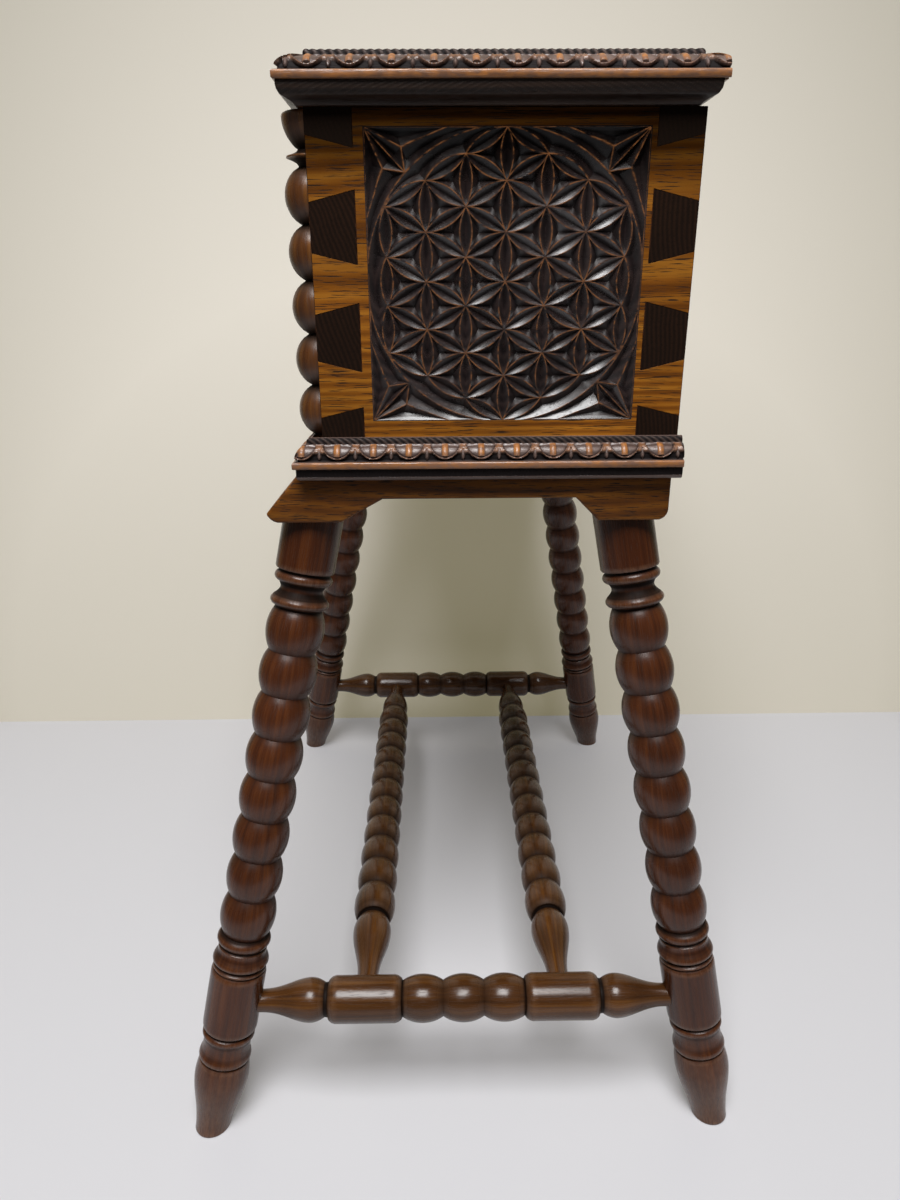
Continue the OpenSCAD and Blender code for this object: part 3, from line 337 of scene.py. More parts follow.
# Meshes
def add_piece(
    name, points, faces, materials, body, nodes, grain, wear=None, depth=None, face_kind=None, sharp=32
):
    """Piece from points in millimetres. grain is each point's place in the wood, with X along the grain."""
    mesh = bpy.data.meshes.new(name)
    mesh.from_pydata((np.asarray(points, float) * MM).tolist(), [], [list(map(int, f)) for f in faces])
    for material in materials:
        mesh.materials.append(material)
    offset = seeded(name).uniform(-1, 1, 3)
    layer = mesh.attributes.new("grain", "FLOAT_VECTOR", "POINT")
    layer.data.foreach_set("vector", (np.asarray(grain, float) * MM + offset).ravel())
    for key, values in (("wear", wear), ("depth", depth)):
        if values is not None:
            layer = mesh.attributes.new(key, "FLOAT", "POINT")
            layer.data.foreach_set("value", np.broadcast_to(values, len(points)).astype(float).ravel())
    if face_kind is not None:
        mesh.polygons.foreach_set("material_index", np.asarray(face_kind, int))
    work = bmesh.new()
    work.from_mesh(mesh)
    bmesh.ops.remove_doubles(work, verts=work.verts, dist=0.00001)
    bmesh.ops.dissolve_degenerate(work, edges=work.edges, dist=0.00001)
    bmesh.ops.recalc_face_normals(work, faces=work.faces)
    work.to_mesh(mesh)
    work.free()
    mesh.polygons.foreach_set("use_smooth", [True] * len(mesh.polygons))
    mesh.set_sharp_from_angle(angle=math.radians(sharp))
    piece = add_object(name, mesh)
    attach(piece, body)
    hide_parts(*nodes)
    return piece


# Turnings
def bead(a, b, r, end_r, n=14):
    """Convex bead from height a to height b, as (radius, height) points."""
    t = np.linspace(-1, 1, n + 1)
    return np.column_stack([r * np.sqrt(1 - t**2 * (1 - (end_r / r) ** 2)), a + (b - a) * (t + 1) / 2])


def hollow(a, b, r1, r2, dip, n=8):
    """Hollow from radius r1 at height a to radius r2 at height b."""
    t = np.linspace(0, 1, n + 1)
    return np.column_stack([r1 + (r2 - r1) * t - dip * np.sin(math.pi * t), a + (b - a) * t])


def bead_row(a, b, count, r, end_r):
    step = (b - a) / count
    return np.vstack([bead(a + step * k, a + step * (k + 1), r, end_r) for k in range(count)])


def vase(a, b, neck, belly):
    """Vase from its neck at height a to the collar behind its belly at height b."""
    h = b - a
    t = np.linspace(0, 1, 17)
    widening = 0.5 - 0.5 * np.cos(math.pi * t**1.2)
    rise = np.column_stack([neck + (belly - neck) * widening, a + h * 0.76 * t])
    t = np.linspace(0.2, 1, 5)
    fall = np.column_stack([belly * (1 - 0.2 * t**2), a + h * (0.76 + 0.19 * t)])
    return np.vstack([rise, fall, [[belly * 0.76, a + h * 0.97], [belly * 0.78, b]]])


def flipped(points):
    """Outline turned end for end, for the other half of a symmetrical turning."""
    return np.column_stack([points[::-1, 0], -points[::-1, 1]])


def rings_of(*stretches):
    """Outline from stretches of (radius, height) points, with equal neighbours merged."""
    points = np.vstack([np.atleast_2d(np.asarray(s, float)) for s in stretches])
    keep = np.append(True, np.linalg.norm(np.diff(points, axis=0), axis=1) > 0.02)
    return points[keep]


def hollow_depth(outline, reach):
    """How deep each point of an outline lies under its neighbours, from 0 to 1."""
    shallow, deeper = 0.5, 1.7
    r, z = outline[:, 0], outline[:, 1]
    near = np.abs(z[:, None] - z[None, :]) < reach
    crest = np.where(near, r[None, :], 0).max(1)
    return np.clip((crest - r - shallow) / deeper, 0, 1)


def crest_wear(outline, reach=3.0):
    """How far each point of an outline stands above the mean of its neighbours, from 0 to 1."""
    r, z = outline[:, 0], outline[:, 1]
    near = np.abs(z[:, None] - z[None, :]) < reach
    mean = (near * r[None, :]).sum(1) / near.sum(1)
    return np.clip((r - mean) * 1.2, 0, 1)


def axis_frame(start, end):
    """Rotation whose Z axis runs from start to end."""
    d = np.asarray(end, float) - np.asarray(start, float)
    d /= np.linalg.norm(d)
    side = np.cross([0.0, 1.0, 0.0] if abs(d[1]) < 0.9 else [1.0, 0.0, 0.0], d)
    side /= np.linalg.norm(side)
    return np.column_stack([side, np.cross(d, side), d])


# How far the wood is worn on a turning's crests, and at the very foot of a leg
CREST_WEAR, FOOT_WEAR = 0.6, 0.75


def turned(
    node, outline, start, end, material, cuts=(None, None), sweep=(0, 360), around=96, scuffed=0,
    reach=3.2,
):
    """Turning about the line from start to end.

    cuts are the heights of level planes that trim its two ends, sweep the degrees it covers, scuffed the
    height up to which it is rubbed, and reach how far along it a crest's painted shade darkens the hollows."""
    name = node + "_turning"
    rng = seeded(name)
    half = sweep[1] - sweep[0] < 360
    turns = np.radians(np.linspace(*sweep, around + 1))
    turns = turns if half else turns[:-1]
    columns = len(turns)
    r, z = outline[:, :1], outline[:, 1:]
    # Old turnings are a little out of round
    across, uneven = 0.4, 0.009
    lumps = 0.5 + 0.5 * wobble(rng, np.cos(turns)[None, :] * across, np.sin(turns)[None, :] * across, z / 40)
    radius = r * (1 - uneven * lumps)
    axes = axis_frame(start, end)
    start = np.asarray(start, float)
    height = np.broadcast_to(z, radius.shape).copy()
    # Slide the end rings along the axis on to their level planes, over a short stretch
    blend_length = 20.0
    for cut, last in ((cuts[0], 0), (cuts[1], -1)):
        if cut is None:
            continue
        side = radius[last] * (axes[2, 0] * np.cos(turns) + axes[2, 1] * np.sin(turns))
        wanted = (cut - start[2] - side) / axes[2, 2]
        share = np.clip(1 - np.abs(z - z[last]) / blend_length, 0, 1)
        height += share * (wanted - z[last])
    local = np.stack([radius * np.cos(turns), radius * np.sin(turns), height], axis=-1).reshape(-1, 3)
    points = start + local @ axes.T
    index = np.arange(len(points)).reshape(len(outline), columns)
    faces = grid_faces(index if half else np.column_stack([index, index[:, 0]]))
    if half:
        faces += grid_faces(index[:, [-1, 0]])
    faces += [index[0, ::-1].tolist(), index[-1].tolist()]
    # Hollows darken by their depth under the crests: grime, and painted shade from the crests
    depth = np.repeat(hollow_depth(outline, reach), columns)
    worn = np.repeat(crest_wear(outline), columns) * CREST_WEAR
    if scuffed:
        worn = worn + FOOT_WEAR * np.clip(1 - local[:, 2] / scuffed, 0, 1)
    # The wood's place is taken on an even cylinder, so that streaks run on over beads and hollows
    even = outline[:, 0].max()
    sides = np.broadcast_arrays(even * np.cos(turns), even * np.sin(turns), height)[:2]
    grain = np.stack([height, *sides], axis=-1).reshape(-1, 3)
    return add_piece(name, points, faces, [material], "cabinet", [node], grain, worn, depth, sharp=40)


def level_middle(node, height):
    """Middle of a CAD node's section at a level where its mesh has points."""
    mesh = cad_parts[node].data
    points = np.array([v.co for v in mesh.vertices]) / MM
    level = points[np.abs(points[:, 2] - height) < 0.01]
    return (level.min(0) + level.max(0)) / 2


# Radii of a leg, an end stretcher's drums, and the vases with their necks at the stretchers' ends
LEG_R, END_DRUM_R, VASE_R, NECK_R = 20.0, 16.6, 15.5, 8.0

# A leg's drum with the stretcher in it: half its height, its middle above the stretcher's, and how far the
# foot's belly lies below it and the row of beads above it
DRUM_HALF, DRUM_LIFT, BELLY_DROP, BEADS_RISE = 23.75, 6, 42, 29.4

# Heights of the collar under the rail and of the neck below it
COLLAR_H, COLLAR_NECK_H = 39.5, 26.3
LEG_BEADS = 8


def leg_steps(level, *steps):
    """Outline points given as shares of the leg's radius and distances from a level."""
    return [(LEG_R * share, level + rise) for share, rise in steps]


def leg_outline(length, drum_mid):
    """Foot, groove, cups and rings round the drum, beads, neck and collar."""
    r, tip_r = LEG_R, 13.0
    d0, d1 = drum_mid - DRUM_HALF, drum_mid + DRUM_HALF
    belly, bead_a = d0 - BELLY_DROP, d1 + BEADS_RISE
    collar_a = length - COLLAR_H
    bead_b = collar_a - COLLAR_NECK_H
    t = np.linspace(0.05, 1, 18)
    share = 0.35 * t + 0.325 - 0.325 * np.cos(math.pi * t)
    foot = np.column_stack([tip_r + (r - tip_r) * share, 2 + (belly - 2) * t])
    t = np.linspace(0.1, 1, 9)
    cheek = np.column_stack([r * (1 - 0.085 * t**2), belly + 14.5 * t])
    return rings_of(
        [[tip_r - 0.8, 0], [tip_r, 0.9], [tip_r, 2]],
        foot,
        cheek,
        leg_steps(d0 - 27, (0.86, 0), (0.86, 0.8)),
        leg_steps(d0, (0.93, -25.4), (0.952, -24.5), (0.96, -23.5), (0.956, -22.4), (0.946, -21.5)),
        hollow(d0 - 20, d0 - 8, r * 0.91, r * 0.894, 0.7),
        leg_steps(d0, (0.94, -6.6), (0.957, -5.6), (0.957, -4.4), (0.93, -3.2), (0.86, -2.4), (0.86, -1.2)),
        leg_steps(d0, (0.95, -0.3), (0.975, 0.4), (0.99, 1.4), (1, 3.6)),
        np.column_stack([np.full(8, r), np.linspace(d0 + 5, d1 - 4, 8)]),
        leg_steps(d1, (1, -1.5), (0.97, 0), (0.88, 0.9), (0.93, 1.4), (0.966, 2.2), (0.966, 3.3)),
        leg_steps(d1, (0.93, 4.1), (0.85, 4.8), (0.85, 5.6), (0.96, 6.3)),
        leg_steps(d1, (1.005, 7.2), (1.016, 8.4), (1.005, 9.5)),
        hollow(d1 + 11, d1 + 18.5, r * 0.974, r * 0.88, 0.8),
        leg_steps(d1, (0.82, 19.5), (0.82, 20.3)),
        bead(d1 + 21, bead_a - 0.8, r * 0.966, r * 0.86, 10),
        bead_row(bead_a, bead_b, LEG_BEADS, r, r * 0.79),
        leg_steps(bead_b, (0.84, 0.8), (0.94, 2), (0.99, 3.4), (1, 4.5), (0.99, 5.6), (0.95, 6.6)),
        hollow(bead_b + 7.5, collar_a - 8.8, r * 0.92, r * 0.82, 2.8, 14),
        leg_steps(collar_a, (0.89, -8.2), (0.95, -7.2), (0.977, -6), (0.983, -4.8), (0.965, -3.5)),
        leg_steps(collar_a, (0.93, -2.6), (0.88, -1.8), (0.87, -0.5)),
        leg_steps(collar_a, (0.97, 0.2), (1, 1.4)),
        np.column_stack([np.full(8, r), np.linspace(collar_a + 4, length, 8)]),
    )


stretcher_mid = sum(corners("end_stretcher_right")) / 2
long_front, long_back = (sum(corners(n)) / 2 for n in ("long_stretcher_front", "long_stretcher_back"))
stretcher_x, stretcher_z = stretcher_mid[0], stretcher_mid[2]


def make_leg(node):
    """Turns a leg, and gives the point of its axis at the stretcher's height."""
    foot, top = level_middle(node, 0), level_middle(node, rail_z)
    length = np.linalg.norm(top - foot)
    outline = leg_outline(length, (stretcher_z + DRUM_LIFT) * length / rail_z)
    turned(node, outline, foot, top, walnut, cuts=(0, rail_z), scuffed=75)
    return foot + (top - foot) * (stretcher_z / rail_z)


LEGS = ("leg_front_left", "leg_front_right", "leg_back_left", "leg_back_right")
knots = {node: make_leg(node) for node in LEGS}


def make_end_stretcher(side):
    """Vases at the legs, drums where the long stretchers go in, and beads between them."""
    node = "end_stretcher_" + side
    x = sum(corners(node))[0] / 2
    front, back = knots["leg_front_" + side][1], knots["leg_back_" + side][1]
    middle, reach = (front + back) / 2, (back - front) / 2
    long_half, drum_half = (long_back[1] - long_front[1]) / 2, 27.75
    d0, d1 = long_half - drum_half, long_half + drum_half
    r, beads, bead_r, groove_r = END_DRUM_R, 3, 16.7, 12.4
    half = rings_of(
        [[r - 4, d0], [r - 2.2, d0 + 1], [r - 0.8, d0 + 3], [r, d0 + 5.5]],
        np.column_stack([np.full(7, r), np.linspace(d0 + 9, d1 - 9, 7)]),
        [[r, d1 - 5.5], [r - 0.8, d1 - 3], [r - 2.4, d1 - 1], [r - 4.6, d1]],
        flipped(vase(-reach + LEG_R, -d1 - 0.5, NECK_R, VASE_R)),
        [[NECK_R, reach - LEG_R + 6]],
    )
    outline = rings_of(flipped(half), bead_row(-d0, d0, beads, bead_r, groove_r), half)
    end = (x, middle + 1, stretcher_z)
    turned(node, outline, (x, middle, stretcher_z), end, stretcher_wood)


def make_long_stretcher(node):
    """A row of beads between two vases."""
    vase_l, beads, bead_r, groove_r = 66, 11, 17.5, 14.0
    _, y, z = sum(corners(node)) / 2
    shoulder = stretcher_x - END_DRUM_R
    bead_end = shoulder - vase_l
    ends = rings_of([[NECK_R, -shoulder - 5]], vase(-shoulder, -bead_end, NECK_R, VASE_R))
    outline = rings_of(ends, bead_row(-bead_end, bead_end, beads, bead_r, groove_r), flipped(ends))
    turned(node, outline, (0, y, z), (1, y, z), stretcher_wood, reach=5.0)


for side in ("left", "right"):
    make_end_stretcher(side)
for node in ("long_stretcher_front", "long_stretcher_back"):
    make_long_stretcher(node)


def make_half_column(node):
    """Beads, a ring between two necks and a bell, halved at the front board's face."""
    r, neck, foot, beads, ring, bell = 15.3, 0.42, 1.45, 5, 9, 18
    x = (sum(corners(node)) / 2)[0]
    ring_z = box_h - bell - ring
    t = np.linspace(0.06, 1, 16)
    outline = rings_of(
        [[r * neck, 0]],
        bead_row(foot, ring_z, beads, r, r * neck),
        hollow(ring_z + ring * 0.05, ring_z + ring * 0.5, r * neck, r * 0.85, 1.5),
        [[r * 0.86, ring_z + ring * 0.55], [r * 0.85, ring_z + ring * 0.6]],
        hollow(ring_z + ring * 0.62, ring_z + ring, r * 0.80, r * neck, 1.5),
        np.column_stack([r * (neck + 0.53 * np.sin(math.pi / 2 * t**0.8)), ring_z + ring + (bell - 2) * t]),
        [[r * 0.91, box_h - 0.7], [r * 0.82, box_h]],
    )
    start, end = (x, front_y, box_z), (x, front_y, box_z + 1)
    turned(node, outline, start, end, column_wood, sweep=(180, 360), around=64)


for node in ("half_column_left", "half_column_centre", "half_column_right"):
    make_half_column(node)


# Boards
def inset(outline, distance):
    """Counter-clockwise outline moved inwards."""
    p = np.asarray(outline, float)
    before, after = p - np.roll(p, 1, axis=0), np.roll(p, -1, axis=0) - p
    normals = []
    for run in (before, after):
        run = run / np.linalg.norm(run, axis=1)[:, None]
        normals.append(np.column_stack([-run[:, 1], run[:, 0]]))
    mitre = (normals[0] + normals[1]) / (1 + (normals[0] * normals[1]).sum(1))[:, None]
    return p + mitre * distance


class Carving:
    """Cut lines in the plane of a board's face: points, how deep they lie, and the edges that join them."""

    def __init__(self):
        self.points, self.depths, self.edges = [], [], []

    def line(self, points, depths, closed=False):
        first = len(self.points)
        self.points.extend(map(tuple, np.asarray(points, float)))
        self.depths.extend(np.broadcast_to(depths, len(points)))
        last = len(self.points) - 1
        self.edges.extend((k, k + 1) for k in range(first, last))
        if closed:
            self.edges.append((last, first))

    def chip(self, outline, spine, depths, ridge):
        """Chip cut inside an outline, down to its spine. A spine end with depth 0 meets the outline."""
        shrunk = inset(outline, ridge / 2)
        spine = np.array(spine, float)
        depths = np.array(depths, float)
        for end in (0, -1):
            if depths[end] == 0:
                spine[end] = shrunk[np.argmin(np.linalg.norm(shrunk - spine[end], axis=1))]
        self.line(shrunk, 0.0, closed=True)
        self.line(spine, depths)


# Half the side of a carved square, the strip left plain inside its edge, and how deep its cuts go
SQUARE_HALF, SQUARE_RIM = 79.0, 0.4
PETAL_DEEP, PIT_DEEP, CRESCENT_DEEP = 2.9, 3.7, 3.6


def carved_square(name):
    """Rosette of overlapping circles in a ring, with chip-cut corners."""
    rng = seeded(name)
    carving = Carving()
    # Spacing of the lattice, width of the ridges between cuts, and radius of the ring
    s, ridge, ring_r = 26.2, 0.42, 79.6
    rise = s * math.sqrt(3) / 2
    grid = [
        np.array([column * rise, (i - (6 - abs(column)) / 2) * s])
        for column in range(-3, 4)
        for i in range(7 - abs(column))
    ]

    # Petals: lens-shaped cuts along each side of the lattice
    arc_r = s - ridge / 2
    tip = math.sqrt(arc_r**2 - rise**2)
    x = np.linspace(-tip, tip, 11)
    arc = np.sqrt(arc_r**2 - x**2) - rise
    lens = np.vstack([np.column_stack([x, -arc]), np.column_stack([x, arc])[-2:0:-1]])
    spine = np.column_stack([x, np.zeros_like(x)])
    near = [(a, b) for i, a in enumerate(grid) for b in grid[i + 1 :] if np.linalg.norm(b - a) < s * 1.01]
    for a, b in near:
        d = (b - a) / s
        turn = np.array([[d[0], d[1]], [-d[1], d[0]]])
        deep = PETAL_DEEP * rng.uniform(0.88, 1.08) * (1 - (x / tip) ** 2) ** 0.8
        carving.line(lens @ turn + (a + b) / 2, 0.0, closed=True)
        carving.line(spine @ turn + (a + b) / 2, np.round(deep, 6))

    # Three-sided pits between the petals
    out_r = s + ridge / 2
    far = s / (2 * math.sqrt(3)) + rise
    swing = np.radians(np.linspace(-20.5, 20.5, 9))
    tip_gap = 3.4
    for a, b in near:
        for c in grid:
            pair = (np.linalg.norm(c - a), np.linalg.norm(c - b))
            # Each triangle is met once, from the side whose third corner comes last in the lattice
            last = tuple(c) > max(tuple(a), tuple(b))
            if max(pair) > s * 1.01 or min(pair) < 1 or not last:
                continue
            middle = (a + b + c) / 3
            apex = middle + rng.uniform(-0.3, 0.3, 2)
            deep = PIT_DEEP * rng.uniform(0.9, 1.08)
            outline, tips = [], []
            side = (a + b) / 2 - middle
            first = math.atan2(side[1], side[0])
            for k in range(3):
                phi = first + k * 2 * math.pi / 3
                centre = middle + far * round_points(phi)
                outline.extend(centre + out_r * round_points(phi + math.pi - swing))
                tips.append(middle + (s / math.sqrt(3) - tip_gap) * round_points(phi + math.pi / 3))
                outline.append(tips[-1])
            carving.line(outline, 0.0, closed=True)
            share = np.linspace(0, 1, 6)[:, None]
            for corner in tips:
                carving.line(apex + (corner - apex) * share, np.round(deep * (1 - share[:, 0]) ** 0.9, 6))

    # Crescents between the outer petals and the ring
    for k in range(6):
        phi = math.radians(60 * k)
        turn = np.array([[math.cos(phi), math.sin(phi)], [-math.sin(phi), math.cos(phi)]])
        along = np.linspace(-1.5 * s, 1.5 * s, 37)[2:-2]
        local = (along + 1.5 * s) % s - s / 2
        inner = np.column_stack([3 * rise + np.sqrt(out_r**2 - local**2) - rise, along])
        angle = np.arctan2(inner[:, 1], inner[:, 0])
        outer = (ring_r - ridge / 2) * round_points(angle)
        inner, outer = inner @ turn, outer @ turn
        outer = np.clip(outer, -SQUARE_HALF + SQUARE_RIM, SQUARE_HALF - SQUARE_RIM)
        width = np.linalg.norm(outer - inner, axis=1)
        keep = width > 0.7
        inner, outer, width = inner[keep], outer[keep], width[keep]
        carving.line(np.vstack([inner, outer[::-1]]), 0.0, closed=True)
        valley = (inner + outer) / 2
        deep = np.minimum(0.42 * width[1:-1], CRESCENT_DEEP) * rng.uniform(0.95, 1.03)
        carving.line(valley[1:-1], np.round(deep, 6))

    # Corners: a kite on the diagonal and long chips beside it
    edge = SQUARE_HALF - SQUARE_RIM
    corner, on_ring, knee = (edge, edge), (56.5, 56.5), (58.3, 68.9)
    curve = [(52.3, 71.6), (45.8, 73.8), (39.5, 76.2)]
    tip = (33.0, edge)
    ring_arc = ring_r * round_points(np.radians(np.linspace(79.5, 45, 12)))
    ring_arc[-1] = on_ring
    long_chip = np.vstack([ring_arc, [knee], curve, [tip]])
    ring_spine = [(55.6, 63.2), (52.3, 65.8), (45.8, 69.6), (39.5, 72.7), (33, 75.4), (25, 77.3)]
    edge_spine = [corner, (69.5, 76.4), (60, 74.2), (52.3, 75.3), (45.8, 76.4), tip]
    chips = [
        (long_chip, ring_spine, [3.4, 3.5, 3.2, 2.6, 1.9, 1.0]),
        (np.array([corner, tip, *curve[::-1], knee]), edge_spine, [0, 2.0, 3.4, 2.6, 1.7, 0]),
        (np.array([corner, knee, on_ring]), [corner, (62.3, 65.4)], [0, 3.4]),
    ]
    # Each chip lies on both sides of the diagonal in all four corners
    mirrored = [(sx, sy, order) for sx in (-1, 1) for sy in (-1, 1) for order in (1, -1)]
    for outline, spine, depths in chips:
        for sx, sy, order in mirrored:
            o, p = (np.array(points)[:, ::order] * (sx, sy) for points in (outline, spine))
            area = np.sum(o[:, 0] * np.roll(o[:, 1], -1) - o[:, 1] * np.roll(o[:, 0], -1))
            carving.chip(o if area > 0 else o[::-1], p, depths, ridge)
    return carving


# Kinds of face on a board, in the order of its materials
FACE, CARVED, END_GRAIN = range(3)


def fill_face(outline, carvings):
    """Triangles over an outline with carved squares let in, their kinds, and the points' depths and wear."""
    points = [tuple(p) for p in outline]
    depths, wear, edges = [0.0] * len(points), [0.0] * len(points), []
    border = Carving()
    border.line(SQUARE_HALF * np.array([(-1, -1), (1, -1), (1, 1), (-1, 1)]), 0.0, closed=True)
    for centre, carving in carvings:
        for lines, ridge_wear in ((border, 0.0), (carving, 1.0)):
            first = len(points)
            points.extend((x + centre[0], y + centre[1]) for x, y in lines.points)
            depths.extend(lines.depths)
            wear.extend(ridge_wear if depth == 0 else 0.0 for depth in lines.depths)
            edges.extend((a + first, b + first) for a, b in lines.edges)
    inside_only, merged = 1, 1e-4
    found, _, triangles, sources, _, _ = delaunay_2d_cdt(
        [Vector(p) for p in points], edges, [list(range(len(outline)))], inside_only, merged
    )
    flat = np.array([tuple(p) for p in found])
    known = np.array([s[0] if s else -1 for s in sources])
    depths, wear = np.array(depths)[known], np.array(wear)[known]
    lost = known < 0
    depths[lost], wear[lost] = 0.0, 0.0
    kinds = []
    for triangle in triangles:
        middle = flat[list(triangle)].mean(0)
        inside = any(np.abs(middle - centre).max() < SQUARE_HALF for centre, _ in carvings)
        kinds.append(CARVED if inside else FACE)
    return flat, depths, wear, [list(t) for t in triangles], kinds


def slab(
    name, node, outer, inner, place, thickness, materials, grain_of, carvings=(), edge=JOINT_EDGE,
    steps=1, edge_depth=1.0, sharp=20,
):
    """Board of the cabinet from the outline of its outer face to that of its inner face.

    place maps (u, v, depth) to the frame, and grain_of gives a point's place in the wood. Edges are eased in
    so many steps and are dark by edge_depth. Sides that look along u are end grain."""
    outer, inner = np.asarray(outer, float), np.asarray(inner, float)
    count = len(outer)
    theta = np.linspace(0, math.pi / 2, steps + 1)
    levels = [(edge * (1 - math.sin(t)), edge * (1 - math.cos(t))) for t in theta]
    levels += [(d, thickness - w) for d, w in levels[::-1]]
    flat, depths, wear, faces, kinds = fill_face(inset(outer, levels[0][0]), carvings)
    uv, down, worn, dirt_and_shade = [flat], [depths], [wear], [np.zeros(len(flat))]
    # The face's first points are its outline, in order, so the sides can start from them
    for number, (shrink, level) in enumerate(levels[1:], 1):
        uv.append(inset(outer + (inner - outer) * level / thickness, shrink))
        down.append(np.full(count, level))
        worn.append(np.zeros(count))
        outside = number in (steps, steps + 1)
        dirt_and_shade.append(np.full(count, edge_depth if outside else 0.0))
    starts = [0] + [len(flat) + k * count for k in range(len(levels) - 1)]
    for a, b in zip(starts, starts[1:]):
        for i in range(count):
            j = (i + 1) % count
            run = outer[j] - outer[i]
            faces.append([a + j, a + i, b + i, b + j])
            kinds.append(END_GRAIN if abs(run[0]) < 0.3 * np.linalg.norm(run) else FACE)
    faces.append([starts[-1] + i for i in range(count)][::-1])
    kinds.append(FACE)
    uv, down, worn, dirt_and_shade = np.vstack(uv), np.concatenate(down), np.concatenate(worn), np.concatenate(dirt_and_shade)
    points = place(uv[:, 0], uv[:, 1], down)
    kinds = np.minimum(kinds, len(materials) - 1)
    return add_piece(
        name, points, faces, materials, "cabinet", [node], grain_of(points), worn, dirt_and_shade, kinds, sharp
    )


def along(axis):
    """Grain coordinates for wood whose grain runs along that axis of the frame."""
    order = [axis] + [k for k in range(3) if k != axis]
    return lambda points: np.asarray(points)[:, order]


def far_from_heart(points):
    """Grain coordinates along X, 4 m from the rings' middle, where they cross a board as straight lines."""
    return np.asarray(points) + (0, 4000, 0)


# The carved squares' middles: their height, the end squares' place in Y, and the front ones' in X
SQUARE_Z = (box_z + box_top) / 2 + 1
END_SQUARE_Y, FRONT_SQUARE_X = 1.2, 100.75


def joint_outline(start, *steps):
    """Outline with the box joint at both ends. steps are (u, half pin) at the four corners of each tail."""
    left = [(start, box_top)]
    for k in range(TAILS, 0, -1):
        z = box_z + k * TAIL_PITCH
        for (u, half_pin), level, sign in zip(steps, (z, z, z - TAIL_PITCH, z - TAIL_PITCH), (-1, -1, 1, 1)):
            left.append((u, level + sign * half_pin))
    left.append((start, box_z))
    return np.array(left + [(-u, z) for u, z in left[::-1]])


def make_end_board(side):
    """End board with dovetails at both edges and one carved square."""
    node, sign = "end_board_" + side, -1 if side == "left" else 1
    wide, narrow = (-inner_d, PIN_INNER), (-half_d, PIN_OUTER)
    loop = joint_outline(-inner_d, wide, narrow, narrow, wide)

    def place(y, z, w):
        return np.column_stack([sign * (half_l - w), y + mid_y, z])

    woods = [oak, carved_oak, end_grain]
    carvings = [((END_SQUARE_Y, SQUARE_Z), carved_square(node))]
    slab(node + "_carved", node, loop, loop, place, board_t, woods, along(1), carvings)


def make_long_board(node, sign, carved):
    """Front or back board, whose pins run through to the ends of the box."""

    def outline(half_pin):
        deep, shallow = (-inner_l, half_pin), (-half_l, half_pin)
        return joint_outline(-half_l, shallow, deep, deep, shallow)

    def place(x, z, w):
        return np.column_stack([x, mid_y + sign * (half_d - w), z])

    name = node + ("_carved" if carved else "_board")
    squares = (-FRONT_SQUARE_X, FRONT_SQUARE_X) if carved else ()
    carvings = [((x, SQUARE_Z), carved_square(node + str(x))) for x in squares]
    outer, inner = outline(PIN_OUTER), outline(PIN_INNER)
    woods = [oak, carved_oak, end_grain]
    slab(name, node, outer, inner, place, board_t, woods, far_from_heart, carvings)


make_end_board("left")
make_end_board("right")
make_long_board("front_board", -1, True)
make_long_board("back_board", 1, False)


def make_rail(side):
    """Rail under an end of the chest, arched between its legs."""
    node, sign = "end_rail_" + side, -1 if side == "left" else 1
    lo, hi = corners(node)
    leg_front, leg_back = (level_middle(f"leg_{k}_{side}", rail_z)[1] for k in ("front", "back"))
    front, back, rail_h, arch, arch_gap, corner_r = lo[1], hi[1], hi[2] - lo[2], 15, 20.6, 7
    arch_a, arch_b = leg_front + arch_gap, leg_back - arch_gap
    t = np.radians(np.arange(-90, 1, 15))
    corner = (back - corner_r, corner_r) + corner_r * round_points(t)
    nose = [(20, rail_h), (1.2, 7.4), (0.2, 6), (0.4, 4.7), (2, 2.6), (4.2, 0.9), (6.8, 0)]
    outline = np.vstack(
        [
            [(front + y, z) for y, z in nose],
            [(arch_a, 0), (arch_a + 1.8 * arch, arch), (arch_b - arch, arch), (arch_b, 0)],
            corner,
            [(back, rail_h)],
        ]
    )

    def place(y, z, w):
        return np.column_stack([sign * (half_l - w), y, z + rail_z])

    slab(
        node + "_wood", node, outline, outline, place, hi[0] - lo[0], [rail_oak], along(1),
        edge=1.6, steps=3, edge_depth=0.0, sharp=35,
    )


make_rail("left")
make_rail("right")


# Mouldings
def smooth(value, low, high):
    """Smooth step from 0 at low to 1 at high."""
    t = np.clip((value - low) / (high - low), 0, 1)
    return t * t * (3 - 2 * t)


